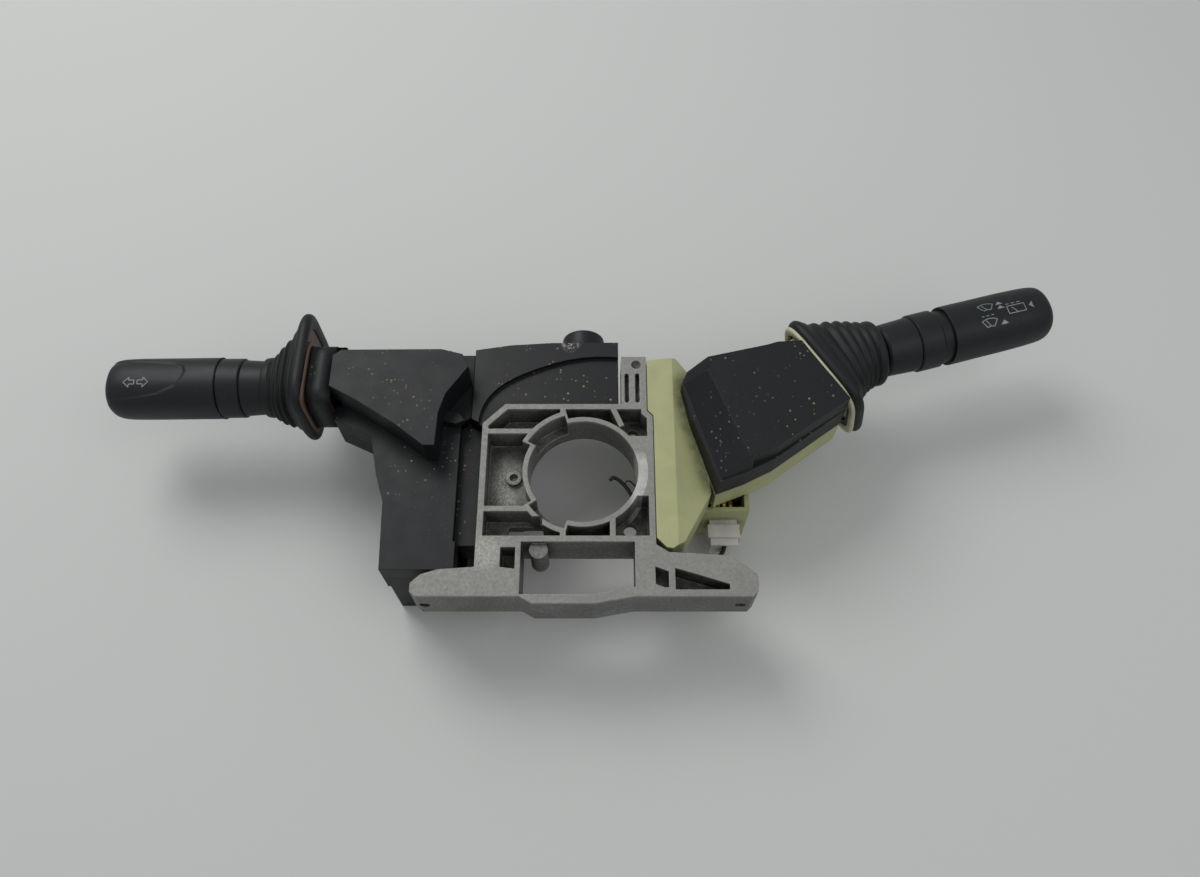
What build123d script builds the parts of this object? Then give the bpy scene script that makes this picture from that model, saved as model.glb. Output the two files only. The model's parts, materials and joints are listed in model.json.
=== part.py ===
"""Combination stalk switch for a steering column: die-cast bracket, lighting and wiper modules."""
import os
from math import cos, radians, sin

from build123d import *

os.makedirs("parts", exist_ok=True)

# ---------------------------------------------------------------- general clearances
RUNNING_GAP = 0.05  # radial clearance of pins and shafts in their bores
FACE_GAP = 0.3  # distance between faces that move past each other
PRESS_GAP = 0.02  # radial clearance of pins that stay put
SEAT_GAP = 0.1  # distance between pieces that are fastened together

# ---------------------------------------------------------------- die-cast bracket
BRACKET_DEPTH = 16.0
BRACKET_FLOOR = 4.0
BRACKET_WALL = 2.4
BRACKET_WEST = -41.3
BRACKET_EAST = 28.5
BRACKET_NORTH = 30.3
BRACKET_SOUTH = -30.3
CORNER_CUT = 9.0
TAB_WEST = 15.7
TAB_EAST = 26.2
TAB_TOP = 53.2
COLUMN_RADIUS = 22.2  # bore that slips over the column tube
RING_WALL = 2.0
RECESS_RADIUS = 26.0  # relieved sectors of the ring
RECESS_DEPTH = 10.0
RIB_WIDTH = 2.2
POCKET_CORNER = 1.5
BAR_BOTTOM = -3.6
BAR_FLOOR = 2.2
BAR_NORTH = -51.4
BAR_SOUTH = -55.0
WINDOW_WEST = -23.8
WINDOW_EAST = 20.3
EAR_WEST = -65.2
EAR_EAST = 67.0
EAR_SOUTH = -52.2
COWL_HOLE_RADIUS = 2.3
COWL_HOLE_DEPTH = 5.2
COWL_HOLE_HEIGHT = 4.5
COWL_HOLE_X = 61.0
CABLE_HOLE_RADIUS = 2.8
CLAMP_HOLE_RADIUS = 2.6
GUIDE_BOSS_RADIUS = 3.6

# ---------------------------------------------------------------- casings
CASE_WALL = 1.9
REST_PLANE = -32.0  # both casings stand on this plane
NOSE_BOTTOM = -6.0
SPLIT_HEIGHT = 4.0  # parting plane between left base and left cover
LID_HEIGHT = 14.0
BLOCK_HEIGHT = 29.0
SHOULDER_HEIGHT = 20.5
CHANNEL_FLOOR = 9.0
PANEL_HEIGHT = 16.0  # top of the hazard housing
PANEL_STEP = 2.0
HAZARD_FLOOR = -5.0
SOCKET_DEPTH = 15.0
WING_HEIGHT = 16.0  # flat top of the right base beside the bracket
WING_CREASE = 37.2
WING_SLOPE = 0.4
BOX_BOTTOM = 8.0
BOX_HEIGHT = 30.0

# ---------------------------------------------------------------- stalks, u runs out along each stalk
STALK_HEIGHT = 12.0
LEFT_PIVOT = (-80.0, 41.0)
LEFT_ANGLE = 180.8
RIGHT_PIVOT = (71.5, 42.8)
RIGHT_ANGLE = 15.5
PIVOT_PIN_RADIUS = 2.5
PIVOT_BOSS_RADIUS = 4.6
ROCK_PIN_RADIUS = 1.5
ROCK_PIN_U = 13.0
CRADLE_HALF = 6.5
EYE_HALF = 3.4
FORK_WALL = 1.8
FORK_END = 17.0
TAIL_END = -16.0
TAIL_HALF = 3.6
PLUNGER_RADIUS = 2.0
PLUNGER_TIP = -19.0
TRACK_GAP = 0.35
TRACK_HALF = 4.0
GROOVE_RADIUS = 1.6
PEG_U = -11.5
PEG_RADIUS = 1.4
SHAFT_RADIUS = 4.6
NECK_RADIUS = 11.2
RING_RADIUS = 12.5
GRIP_TIP_RADIUS = 10.9
SPIGOT_RADIUS = 7.0
SEAM = 0.3
LEFT_NECK = 51.0
LEFT_RING = (62.0, 72.0)
LEFT_TIP = 118.2
RIGHT_NECK = 57.5
RIGHT_RING = (72.0, 82.6)
RIGHT_GRIP = 87.4
RIGHT_TIP = 134.4
PUSH_TRAVEL = 3.0
CAVITY_INNER = -24.0
CAVITY_OUTER = 21.0
CAVITY_HEIGHT = 9.5
CAVITY_FLOOR = -4.1
BOARD_WALL = 1.6
SLIDER_HEIGHT = 4.0

# ---------------------------------------------------------------- boots and collars
LIP_DEPTH = 5.0
PLATE_WALL = 2.0
CUFF_LENGTH = 4.5
LEFT_FLANGE_ANGLE = 180.0
LEFT_FLANGE = (-115.0, 46.0, 9.0)
LEFT_FLANGE_SIZE = (50.0, 43.0)
RIGHT_FLANGE_ANGLE = 31.8
RIGHT_FLANGE_LEAN = 13.0
RIGHT_FLANGE = (101.6, 46.1, 9.9)
RIGHT_FLANGE_SIZE = (48.4, 42.0)

THROAT_WIDTH = 31.0
THROAT_TALL = 27.0
THROAT_WALL = 1.6
BOOT_HOLE = 15.5
LEFT_SHIFT = (-5.5, -3.0)
RIGHT_SHIFT = (4.6, 2.2)
SCREW_RADIUS = 1.5
SCREW_DEPTH = 3.2
LEFT_SCREWS = ((-36.0, 8.0), (-36.0, -15.5))
RIGHT_SCREWS = ((25.6, 10.0), (25.6, -8.0))
LEAD_RADIUS = 0.9
LEAD_OFFSETS = (-2.6, 0.0, 2.6)

# ---------------------------------------------------------------- hazard switch
HAZARD_X = -0.5
HAZARD_Z = 6.5
BUTTON_RADIUS = 9.1
BUTTON_FACE = 68.4
BUTTON_STEM = 3.0
HAZARD_TRAVEL = 4.0


def stalkPlane(pivot, angle):
    """Horizontal plane through a stalk's axis, local x out along the stalk."""
    direction = (cos(radians(angle)), sin(radians(angle)), 0)
    return Plane(origin=(pivot[0], pivot[1], STALK_HEIGHT), x_dir=direction, z_dir=(0, 0, 1))


def flangePlane(centre, angle, lean):
    """Plane of a boot's flange: local x runs north along it, local z points out along the stalk."""
    yaw = radians(angle)
    tilt = radians(lean)
    outward = (cos(yaw) * cos(tilt), sin(yaw) * cos(tilt), sin(tilt))
    along = (-sin(yaw), cos(yaw), 0)
    if along[1] < 0:
        along = (sin(yaw), -cos(yaw), 0)
    return Plane(origin=centre, x_dir=along, z_dir=outward)


LEFT = stalkPlane(LEFT_PIVOT, LEFT_ANGLE)
RIGHT = stalkPlane(RIGHT_PIVOT, RIGHT_ANGLE)
LEFT_FACE = flangePlane(LEFT_FLANGE, LEFT_FLANGE_ANGLE, 0)
RIGHT_FACE = flangePlane(RIGHT_FLANGE, RIGHT_FLANGE_ANGLE, RIGHT_FLANGE_LEAN)


def save(piece, name):
    """Label a finished sub-part and write it as its own STEP file."""
    piece.part.label = name
    export_step(piece.part, f"parts/{name}.step")


# ================================================================ bracket
castingOutline = [
    (BRACKET_WEST, BRACKET_SOUTH),
    (BRACKET_WEST, BRACKET_NORTH - CORNER_CUT),
    (BRACKET_WEST + CORNER_CUT, BRACKET_NORTH),
    (TAB_EAST, BRACKET_NORTH),
    (TAB_EAST, 27.0),
    (BRACKET_EAST, 24.7),
    (BRACKET_EAST, BRACKET_SOUTH),
]
barOutline = [
    (BRACKET_WEST, BRACKET_SOUTH + BRACKET_WALL),
    (BRACKET_WEST, -40.6),
    (-55.3, -41.6),
    (-61.5, -43.6),
    (EAR_WEST, -47.0),
    (EAR_WEST, -50.4),
    (-63.0, EAR_SOUTH),
    (WINDOW_WEST, EAR_SOUTH),
    (-18.8, BAR_SOUTH),
    (4.5, BAR_SOUTH),
    (WINDOW_EAST, EAR_SOUTH),
    (64.6, EAR_SOUTH),
    (66.6, -50.2),
    (EAR_EAST, -46.6),
    (66.6, -43.3),
    (56.4, -36.0),
    (33.4, -34.6),
    (BRACKET_EAST, -31.4),
    (BRACKET_EAST, BRACKET_SOUTH + BRACKET_WALL),
]
windowOutline = [
    (WINDOW_WEST, BRACKET_SOUTH),
    (WINDOW_WEST, BAR_NORTH),
    (4.5, BAR_NORTH),
    (WINDOW_EAST, BAR_NORTH + 2.8),
    (WINDOW_EAST, BRACKET_SOUTH),
]
with BuildPart() as bracket:
    with BuildSketch():
        Polygon(*castingOutline, align=None)
        with Locations(((TAB_WEST + TAB_EAST) / 2, (BRACKET_NORTH + TAB_TOP) / 2 - 1)):
            Rectangle(TAB_EAST - TAB_WEST, TAB_TOP - BRACKET_NORTH + 2)
    extrude(amount=BRACKET_DEPTH)
    with BuildSketch(Plane.XY.offset(BAR_BOTTOM)):
        Polygon(*barOutline, align=None)
    extrude(amount=BRACKET_DEPTH - BAR_BOTTOM)
    with BuildSketch(Plane.XY.offset(BAR_BOTTOM)):
        Polygon(*windowOutline, align=None)
    extrude(amount=BRACKET_DEPTH - BAR_BOTTOM, mode=Mode.SUBTRACT)
    # the boss that hangs in the window's upper corner
    with BuildSketch(Plane.XY.offset(BAR_BOTTOM + 2)):
        with Locations((-17.0, BRACKET_SOUTH - GUIDE_BOSS_RADIUS + 1)):
            Circle(GUIDE_BOSS_RADIUS)
    extrude(amount=BRACKET_DEPTH - BAR_BOTTOM - 4)
    # rear half of the link under the casting is cleared back to the seat plane
    with BuildSketch(Plane.XY.offset(BRACKET_FLOOR)):
        Polygon(*castingOutline, align=None)
        offset(amount=-BRACKET_WALL, kind=Kind.INTERSECTION)
        Circle(COLUMN_RADIUS + RING_WALL, mode=Mode.SUBTRACT)
        for startAngle, endAngle in ((105, 152), (213, 256)):
            with BuildSketch(mode=Mode.PRIVATE) as relief:
                Polygon(
                    (0, 0),
                    (60 * cos(radians(startAngle)), 60 * sin(radians(startAngle))),
                    (60 * cos(radians(endAngle)), 60 * sin(radians(endAngle))),
                    align=None,
                )
                Circle(RECESS_RADIUS + RING_WALL, mode=Mode.INTERSECT)
            add(relief.sketch, mode=Mode.SUBTRACT)
        with Locations((-31.0, 17.7), (-31.0, -16.5)):
            Rectangle(24.0, RIB_WIDTH, mode=Mode.SUBTRACT)
        with Locations((-8.5, 27.0), (-7.6, -27.0), (11.8, -26.0)):
            Rectangle(RIB_WIDTH, 12.0, mode=Mode.SUBTRACT)
        with Locations(Location((13.4, 25.5), 23)):
            Rectangle(RIB_WIDTH, 12.0, mode=Mode.SUBTRACT)
        with Locations((24.0, 2.2)):
            Rectangle(12.0, 26.4, mode=Mode.SUBTRACT)
    extrude(amount=BRACKET_DEPTH, mode=Mode.SUBTRACT)
    # column bore and its two relieved sectors
    with BuildSketch():
        Circle(COLUMN_RADIUS)
    extrude(amount=BRACKET_DEPTH, mode=Mode.SUBTRACT)
    for startAngle, endAngle in ((107, 150), (215, 254)):
        with BuildSketch(Plane.XY.offset(BRACKET_DEPTH - RECESS_DEPTH)):
            Polygon(
                (0, 0),
                (60 * cos(radians(startAngle)), 60 * sin(radians(startAngle))),
                (60 * cos(radians(endAngle)), 60 * sin(radians(endAngle))),
                align=None,
            )
            Circle(RECESS_RADIUS, mode=Mode.INTERSECT)
        extrude(amount=RECESS_DEPTH, mode=Mode.SUBTRACT)
    # pockets of the two ears
    with BuildSketch(Plane.XY.offset(BAR_BOTTOM + BAR_FLOOR)):
        Polygon((-55.8, -50.0), (-55.8, -44.2), (-47.4, -43.0), (-47.4, -50.0), align=None)
        Polygon((-45.0, -50.0), (-45.0, -42.8), (-38.5, -43.2), (-31.5, -45.0), (-26.2, -43.6), (-26.2, -50.0), align=None)
        Polygon((31.6, -37.0), (55.6, -38.4), (64.0, -44.0), (62.0, -46.4), (56.5, -44.6), (43.5, -41.0), align=None)
    extrude(amount=BRACKET_DEPTH, mode=Mode.SUBTRACT)
    with BuildSketch(Plane.XY.offset(6.0)):
        Polygon((35.4, -41.0), (43.4, -43.4), (56.0, -47.4), (56.0, -49.6), (35.4, -49.6), align=None)
        Polygon((-31.6, -40.6), (-31.6, -32.6), (-25.8, -32.6), (-25.8, -41.4), align=None)
    extrude(amount=BRACKET_DEPTH, mode=Mode.SUBTRACT)
    # small through window of the east ear
    with BuildSketch(Plane.XY.offset(BAR_BOTTOM)):
        Polygon((27.9, -40.4), (33.0, -42.4), (33.0, -48.8), (27.9, -48.8), align=None)
    extrude(amount=BRACKET_DEPTH - BAR_BOTTOM, mode=Mode.SUBTRACT)
    # cable passages, clamp hole and guide boss in the floor
    with BuildSketch():
        with Locations((-23.0, -23.4)):
            RectangleRounded(14.6, 7.4, 1.5)
        with Locations((18.9, -20.9)):
            Circle(CABLE_HOLE_RADIUS)
        with Locations((20.6, 21.6)):
            Circle(CLAMP_HOLE_RADIUS)
    extrude(amount=BRACKET_DEPTH, mode=Mode.SUBTRACT)
    with BuildSketch(Plane.XY.offset(BRACKET_FLOOR)):
        with Locations((-28.5, 1.3)):
            Circle(3.2)
            Circle(1.7, mode=Mode.SUBTRACT)
    extrude(amount=2.0)
    # tab: two channels and a dimple
    with BuildSketch(Plane.XY.offset(BRACKET_DEPTH - 4.0)):
        with Locations((18.0, 38.0), (22.4, 38.0)):
            SlotOverall(14.0, 1.8, rotation=90)
    extrude(amount=4.0, mode=Mode.SUBTRACT)
    with Locations((22.0, 49.3, BRACKET_DEPTH)):
        Sphere(2.0, mode=Mode.SUBTRACT)
    # blind holes for the module screws, in the rear face
    with BuildSketch():
        with Locations(*LEFT_SCREWS, *RIGHT_SCREWS):
            Circle(SCREW_RADIUS + PRESS_GAP)
    extrude(amount=SCREW_DEPTH, mode=Mode.SUBTRACT)
    # threaded holes for the column cowl, in the south face of each ear
    for side in (-1, 1):
        with BuildSketch(Plane((side * COWL_HOLE_X, EAR_SOUTH, COWL_HOLE_HEIGHT), x_dir=(1, 0, 0), z_dir=(0, 1, 0))):
            Circle(COWL_HOLE_RADIUS)
        extrude(amount=COWL_HOLE_DEPTH, mode=Mode.SUBTRACT)
save(bracket, "bracket")


# ================================================================ outlines of the two modules
leftOutline = [
    (-78.1, -41.0),
    (-79.4, -12.5),
    (-83.0, -1.5),
    (-87.0, 16.5),
    (-103.0, 24.0),
    (-103.0, 55.0),
    (-46.4, 55.0),
    (-46.4, 23.0),
    (-42.0, 20.6),
    (-42.0, -29.5),
    (-49.5, -29.5),
    (-49.5, -41.0),
]
channelOutline = [(-50.5, -29.5), (-50.5, 22.0), (-46.4, 25.3), (-40.0, 25.3), (-40.0, -29.5)]
leftBlock = [
    (-102.5, 31.6),
    (-90.1, 24.6),
    (-74.6, 14.4),
    (-62.5, 4.9),
    (-58.0, 4.9),
    (-57.6, 19.3),
    (-55.2, 28.1),
    (-46.8, 40.6),
    (-49.5, 46.5),
    (-58.3, 48.9),
    (-99.4, 48.6),
    (-102.6, 46.0),
]
shoulderOutline = [(-101.5, 40.0), (-101.5, 53.4), (-56.0, 53.4), (-50.0, 50.0), (-50.0, 40.0)]
leftDeep = [(-77.0, -41.0), (-77.0, 5.0), (-47.0, 5.0), (-47.0, -41.0)]
boxOutline = [
    (40.5, 37.5),
    (44.0, 22.0),
    (49.0, 8.0),
    (53.6, -7.2),
    (65.3, -2.6),
    (77.0, 3.4),
    (107.0, 25.2),
    (89.8, 53.0),
    (84.5, 58.2),
    (52.0, 50.5),
    (43.0, 43.0),
]
boxTop = [
    (50.6, 38.4),
    (53.5, 43.2),
    (79.9, 51.9),
    (89.9, 52.6),
    (106.8, 25.3),
    (76.6, 4.3),
    (65.3, -0.4),
]
wingOutline = [
    (28.8, -28.6),
    (28.8, 25.0),
    (26.5, 27.4),
    (26.5, 51.3),
    (38.9, 52.8),
    (46.7, 45.0),
    (52.0, -6.0),
    (39.8, -29.8),
    (35.0, -33.0),
    (32.6, -32.6),
]
rightDeep = [(30.0, -8.5), (30.0, 24.0), (69.0, 24.0), (69.0, -8.5)]


def prism(outline, bottom, top, inset=0.0):
    """Upright prism over an outline, with its sides moved in by the inset."""
    with BuildPart() as block:
        with BuildSketch(Plane.XY.offset(bottom)):
            Polygon(*outline, align=None)
            if inset:
                offset(amount=-inset, kind=Kind.INTERSECTION)
        extrude(amount=top - bottom)
    return block.part


def uprightPin(plane, u, v, radius, bottom, top):
    """Upright cylinder at a place given along and across a stalk, between two heights."""
    with BuildPart() as pin:
        with BuildSketch(plane.offset(bottom - STALK_HEIGHT)):
            with Locations((u, v)):
                Circle(radius)
        extrude(amount=top - bottom)
    return pin.part


def stalkBox(plane, uFrom, uTo, halfWidth, bottom, top):
    """Box along a stalk, between two heights."""
    with BuildPart() as block:
        with BuildSketch(plane.offset(bottom - STALK_HEIGHT)):
            with Locations(((uFrom + uTo) / 2, 0)):
                Rectangle(uTo - uFrom, 2 * halfWidth)
        extrude(amount=top - bottom)
    return block.part


CRADLE_TALL = 5.8
MOUTH_HALF = 10.5
MOUTH_TALL = 7.5
PIN_BOTTOM = -2.0
PIN_TOP = 22.0
CASE_FLOOR = NOSE_BOTTOM + CASE_WALL
CRADLE_BOTTOM = STALK_HEIGHT - CRADLE_TALL
CRADLE_TOP = STALK_HEIGHT + CRADLE_TALL

# ================================================================ left base and cover
with BuildPart() as left_base:
    add(prism(leftOutline, NOSE_BOTTOM, SPLIT_HEIGHT))
    add(prism(leftDeep, REST_PLANE, NOSE_BOTTOM))
    with BuildSketch(Plane.XY.offset(-2.6)):
        with Locations((-36.0, -4.0)):
            Rectangle(24.0, 30.0)
        Circle(COLUMN_RADIUS + 2, mode=Mode.SUBTRACT)
    extrude(amount=2.6 - SEAT_GAP)
    add(prism(leftOutline, CASE_FLOOR, SPLIT_HEIGHT, CASE_WALL), mode=Mode.SUBTRACT)
    add(prism(leftDeep, REST_PLANE + CASE_WALL, SPLIT_HEIGHT, CASE_WALL), mode=Mode.SUBTRACT)
    add(uprightPin(LEFT, 0, 0, PIVOT_BOSS_RADIUS, CASE_FLOOR, CRADLE_BOTTOM - FACE_GAP))
    add(uprightPin(LEFT, 0, 0, PIVOT_PIN_RADIUS + PRESS_GAP, PIN_BOTTOM, CRADLE_TOP), mode=Mode.SUBTRACT)
    # connector socket in the rear wall, and screw holes of the tongue
    with BuildSketch(Plane.XY.offset(REST_PLANE)):
        with Locations((-61.5, -24.0)):
            Rectangle(20.0, 14.0)
    extrude(amount=CASE_WALL, mode=Mode.SUBTRACT)
    with BuildSketch(Plane.XY.offset(-3)):
        with Locations(*LEFT_SCREWS):
            Circle(SCREW_RADIUS + SEAT_GAP)
    extrude(amount=3, mode=Mode.SUBTRACT)
    # holes for the leads in the east wall
    with BuildSketch(Plane((-50.0, -23.5, -12.0), x_dir=(0, 1, 0), z_dir=(1, 0, 0))):
        with Locations(*[(0, step) for step in LEAD_OFFSETS]):
            Circle(LEAD_RADIUS + SEAT_GAP)
    extrude(amount=10, mode=Mode.SUBTRACT)
save(left_base, "left_base")

with BuildPart() as left_cover:
    add(prism(leftOutline, SPLIT_HEIGHT + SEAT_GAP, LID_HEIGHT))
    add(prism(shoulderOutline, LID_HEIGHT, SHOULDER_HEIGHT))
    add(prism(leftBlock, LID_HEIGHT, BLOCK_HEIGHT))
    add(prism(leftOutline, SPLIT_HEIGHT, LID_HEIGHT - CASE_WALL, CASE_WALL), mode=Mode.SUBTRACT)
    add(prism(shoulderOutline, SPLIT_HEIGHT, SHOULDER_HEIGHT - CASE_WALL, CASE_WALL), mode=Mode.SUBTRACT)
    add(prism(leftBlock, SPLIT_HEIGHT, BLOCK_HEIGHT - CASE_WALL, CASE_WALL), mode=Mode.SUBTRACT)
    # channel beside the bracket
    add(prism(channelOutline, CHANNEL_FLOOR, BLOCK_HEIGHT - CASE_WALL - 8), mode=Mode.SUBTRACT)
    with BuildSketch(Plane.XY.offset(CHANNEL_FLOOR - CASE_WALL)):
        Polygon(*channelOutline, align=None)
        with BuildSketch(mode=Mode.PRIVATE) as keep:
            Polygon(*leftOutline, align=None)
        add(keep.sketch, mode=Mode.INTERSECT)
    extrude(amount=CASE_WALL)
    with BuildSketch(Plane.XY.offset(CHANNEL_FLOOR - CASE_WALL)):
        with Locations((-51.4, -4.0)):
            Rectangle(1.9, 51.0)
    extrude(amount=LID_HEIGHT - CHANNEL_FLOOR + CASE_WALL)
    # mouth for the stalk
    add(stalkBox(LEFT, CAVITY_OUTER - 2, 30, MOUTH_HALF, SPLIT_HEIGHT, STALK_HEIGHT + MOUTH_TALL), mode=Mode.SUBTRACT)
    add(uprightPin(LEFT, 0, 0, PIVOT_BOSS_RADIUS, CRADLE_TOP + FACE_GAP, BLOCK_HEIGHT - 1))
    add(uprightPin(LEFT, 0, 0, PIVOT_PIN_RADIUS + PRESS_GAP, CRADLE_TOP, PIN_TOP + FACE_GAP), mode=Mode.SUBTRACT)
    # slot for the cancelling pawl
    with BuildSketch(Plane.XY.offset(15.1)):
        with Locations(Location((-56.4, 23.7), -15.3)):
            Rectangle(12.0, 5.2)
    extrude(amount=3.2, mode=Mode.SUBTRACT)
save(left_cover, "left_cover")

# ================================================================ right base and cover
with BuildPart() as right_base:
    add(prism(wingOutline, NOSE_BOTTOM, WING_HEIGHT))
    with BuildSketch(Plane.XZ.offset(-60)):
        Polygon((WING_CREASE, WING_HEIGHT), (WING_CREASE, 20), (60, 20), (60, WING_HEIGHT - 22.8 * 0.62), align=None)
    extrude(amount=120, mode=Mode.SUBTRACT)
    add(prism(boxOutline, BOX_BOTTOM - SEAT_GAP, 20), mode=Mode.SUBTRACT)
    add(prism(boxOutline, NOSE_BOTTOM, BOX_BOTTOM - SEAT_GAP))
    add(prism(rightDeep, REST_PLANE, NOSE_BOTTOM))
    add(prism(boxOutline, CASE_FLOOR, BOX_BOTTOM, CASE_WALL), mode=Mode.SUBTRACT)
    add(prism(rightDeep, REST_PLANE + CASE_WALL, CASE_FLOOR, CASE_WALL), mode=Mode.SUBTRACT)
    with BuildSketch(Plane.XY.offset(CASE_FLOOR)):
        Polygon((30.8, -26.0), (30.8, 49.0), (36.4, 49.0), (36.4, -29.0), align=None)
    extrude(amount=WING_HEIGHT - CASE_WALL - CASE_FLOOR, mode=Mode.SUBTRACT)
    with BuildSketch(Plane.XY.offset(CASE_FLOOR)):
        Polygon((36.0, -26.0), (36.0, 49.0), (40.0, 49.0), (47.0, 10.0), (49.0, -5.0), (39.4, -26.0), align=None)
    extrude(amount=BOX_BOTTOM - CASE_FLOOR - CASE_WALL, mode=Mode.SUBTRACT)
    add(uprightPin(RIGHT, 0, 0, PIVOT_BOSS_RADIUS, CASE_FLOOR, CRADLE_BOTTOM - FACE_GAP))
    add(uprightPin(RIGHT, 0, 0, PIVOT_PIN_RADIUS + PRESS_GAP, PIN_BOTTOM, CRADLE_TOP), mode=Mode.SUBTRACT)
    add(stalkBox(RIGHT, 15, 30, MOUTH_HALF, STALK_HEIGHT - MOUTH_TALL, BOX_BOTTOM), mode=Mode.SUBTRACT)
    # connector socket in the south wall
    with BuildSketch(Plane((59.0, -8.5, -20.0), x_dir=(1, 0, 0), z_dir=(0, 1, 0))):
        Rectangle(12.0, 10.0)
    extrude(amount=3 * CASE_WALL, both=True, mode=Mode.SUBTRACT)
    # tongue under the bracket
    with BuildSketch(Plane.XY.offset(-2.6)):
        with Locations((27.4, 1.0)):
            Rectangle(7.0, 26.0)
        Circle(COLUMN_RADIUS + 1.6, mode=Mode.SUBTRACT)
        with Locations(*RIGHT_SCREWS):
            Circle(SCREW_RADIUS + SEAT_GAP, mode=Mode.SUBTRACT)
    extrude(amount=2.6 - SEAT_GAP)
save(right_base, "right_base")

with BuildPart() as right_cover:
    add(prism(boxOutline, BOX_BOTTOM, SHOULDER_HEIGHT))
    add(prism(boxTop, SHOULDER_HEIGHT, BOX_HEIGHT))
    with BuildSketch(Plane.XY.offset(SHOULDER_HEIGHT - 0.5)):
        Polygon((40.8, 37.2), (53.8, -6.8), (67.0, -1.6), (54.0, 42.0), align=None)
    with BuildSketch(Plane.XY.offset(BOX_HEIGHT)):
        Polygon((50.6, 38.4), (65.3, -0.4), (67.0, 0.6), (54.0, 42.0), align=None)
    loft(ruled=True)
    add(prism(boxOutline, BOX_BOTTOM, SHOULDER_HEIGHT - CASE_WALL, CASE_WALL), mode=Mode.SUBTRACT)
    add(prism(boxTop, BOX_BOTTOM, BOX_HEIGHT - CASE_WALL, CASE_WALL), mode=Mode.SUBTRACT)
    add(stalkBox(RIGHT, 15, 30, MOUTH_HALF, BOX_BOTTOM, STALK_HEIGHT + MOUTH_TALL), mode=Mode.SUBTRACT)
    add(uprightPin(RIGHT, 0, 0, PIVOT_BOSS_RADIUS, CRADLE_TOP + FACE_GAP, BOX_HEIGHT - 1))
    add(uprightPin(RIGHT, 0, 0, PIVOT_PIN_RADIUS + PRESS_GAP, CRADLE_TOP, PIN_TOP + FACE_GAP), mode=Mode.SUBTRACT)
save(right_cover, "right_cover")

# ================================================================ hazard housing
with BuildPart() as hazard_housing:
    with BuildSketch(Plane.XY.offset(NOSE_BOTTOM)):
        Polygon(
            (-46.0, 23.5),
            (-41.6, 21.0),
            (-32.8, 30.7),
            (14.5, 30.7),
            (14.5, 60.3),
            (-14.4, 60.1),
            (-31.5, 58.9),
            (-46.0, 56.5),
            align=None,
        )
    extrude(amount=PANEL_HEIGHT - NOSE_BOTTOM)
    with BuildSketch(Plane.XY.offset(PANEL_HEIGHT - PANEL_STEP)):
        with BuildLine():
            Spline((-43.0, 20.0), (-36.2, 37.5), (-19.7, 47.3), (-8.5, 51.2), (16.0, 52.7))
            Polyline((16.0, 52.7), (16.0, 20.0), (-43.0, 20.0))
        make_face()
    extrude(amount=PANEL_STEP, mode=Mode.SUBTRACT)
    with BuildSketch(Plane.XY.offset(NOSE_BOTTOM)):
        Polygon((-43.5, 25.5), (-41.0, 24.5), (-33.6, 32.6), (12.6, 32.6), (12.6, 51.0), (-43.5, 51.0), align=None)
    extrude(amount=PANEL_HEIGHT - PANEL_STEP - CASE_WALL - NOSE_BOTTOM, mode=Mode.SUBTRACT)
    # guide wall of the button's stem
    with BuildSketch(Plane((HAZARD_X, 43.5, HAZARD_Z - 1.3), x_dir=(1, 0, 0), z_dir=(0, 1, 0))):
        Rectangle(22.0, 17.4)
    extrude(amount=2.0)
    with BuildSketch(Plane((HAZARD_X, 40.0, HAZARD_Z - 1.3), x_dir=(1, 0, 0), z_dir=(0, 1, 0))):
        Circle(BUTTON_STEM + RUNNING_GAP)
    extrude(amount=30.0, mode=Mode.SUBTRACT)
    with BuildSketch(Plane((HAZARD_X, 46.0, HAZARD_Z - 1.3), x_dir=(1, 0, 0), z_dir=(0, 1, 0))):
        Circle(5.6)
    extrude(amount=8.0, mode=Mode.SUBTRACT)
    with BuildSketch(Plane((HAZARD_X, 53.3, HAZARD_Z - 1.3), x_dir=(1, 0, 0), z_dir=(0, 1, 0))):
        Circle(BUTTON_RADIUS - 0.1 + RUNNING_GAP)
    extrude(amount=30.0, mode=Mode.SUBTRACT)
save(hazard_housing, "hazard_housing")

with BuildPart() as hazard_button:
    with BuildSketch(Plane((HAZARD_X, 58.5, HAZARD_Z - 1.3), x_dir=(1, 0, 0), z_dir=(0, 1, 0))):
        Circle(BUTTON_RADIUS - 0.1)
    extrude(amount=BUTTON_FACE - 58.5)
    fillet(hazard_button.edges().sort_by(Axis.Y)[-1], radius=1.2)
    with BuildSketch(Plane((HAZARD_X, 38.0, HAZARD_Z - 1.3), x_dir=(1, 0, 0), z_dir=(0, 1, 0))):
        Circle(BUTTON_STEM)
    extrude(amount=21.0)
save(hazard_button, "hazard_button")


# ================================================================ mechanism shared by both modules
def turned(plane, profile):
    """Body of revolution about a stalk's axis, from (u, radius) pairs."""
    with BuildPart() as body:
        with BuildSketch(plane):
            Polygon(*profile, align=None)
        revolve(axis=Axis(plane.origin, plane.x_dir))
    return body.part


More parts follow.
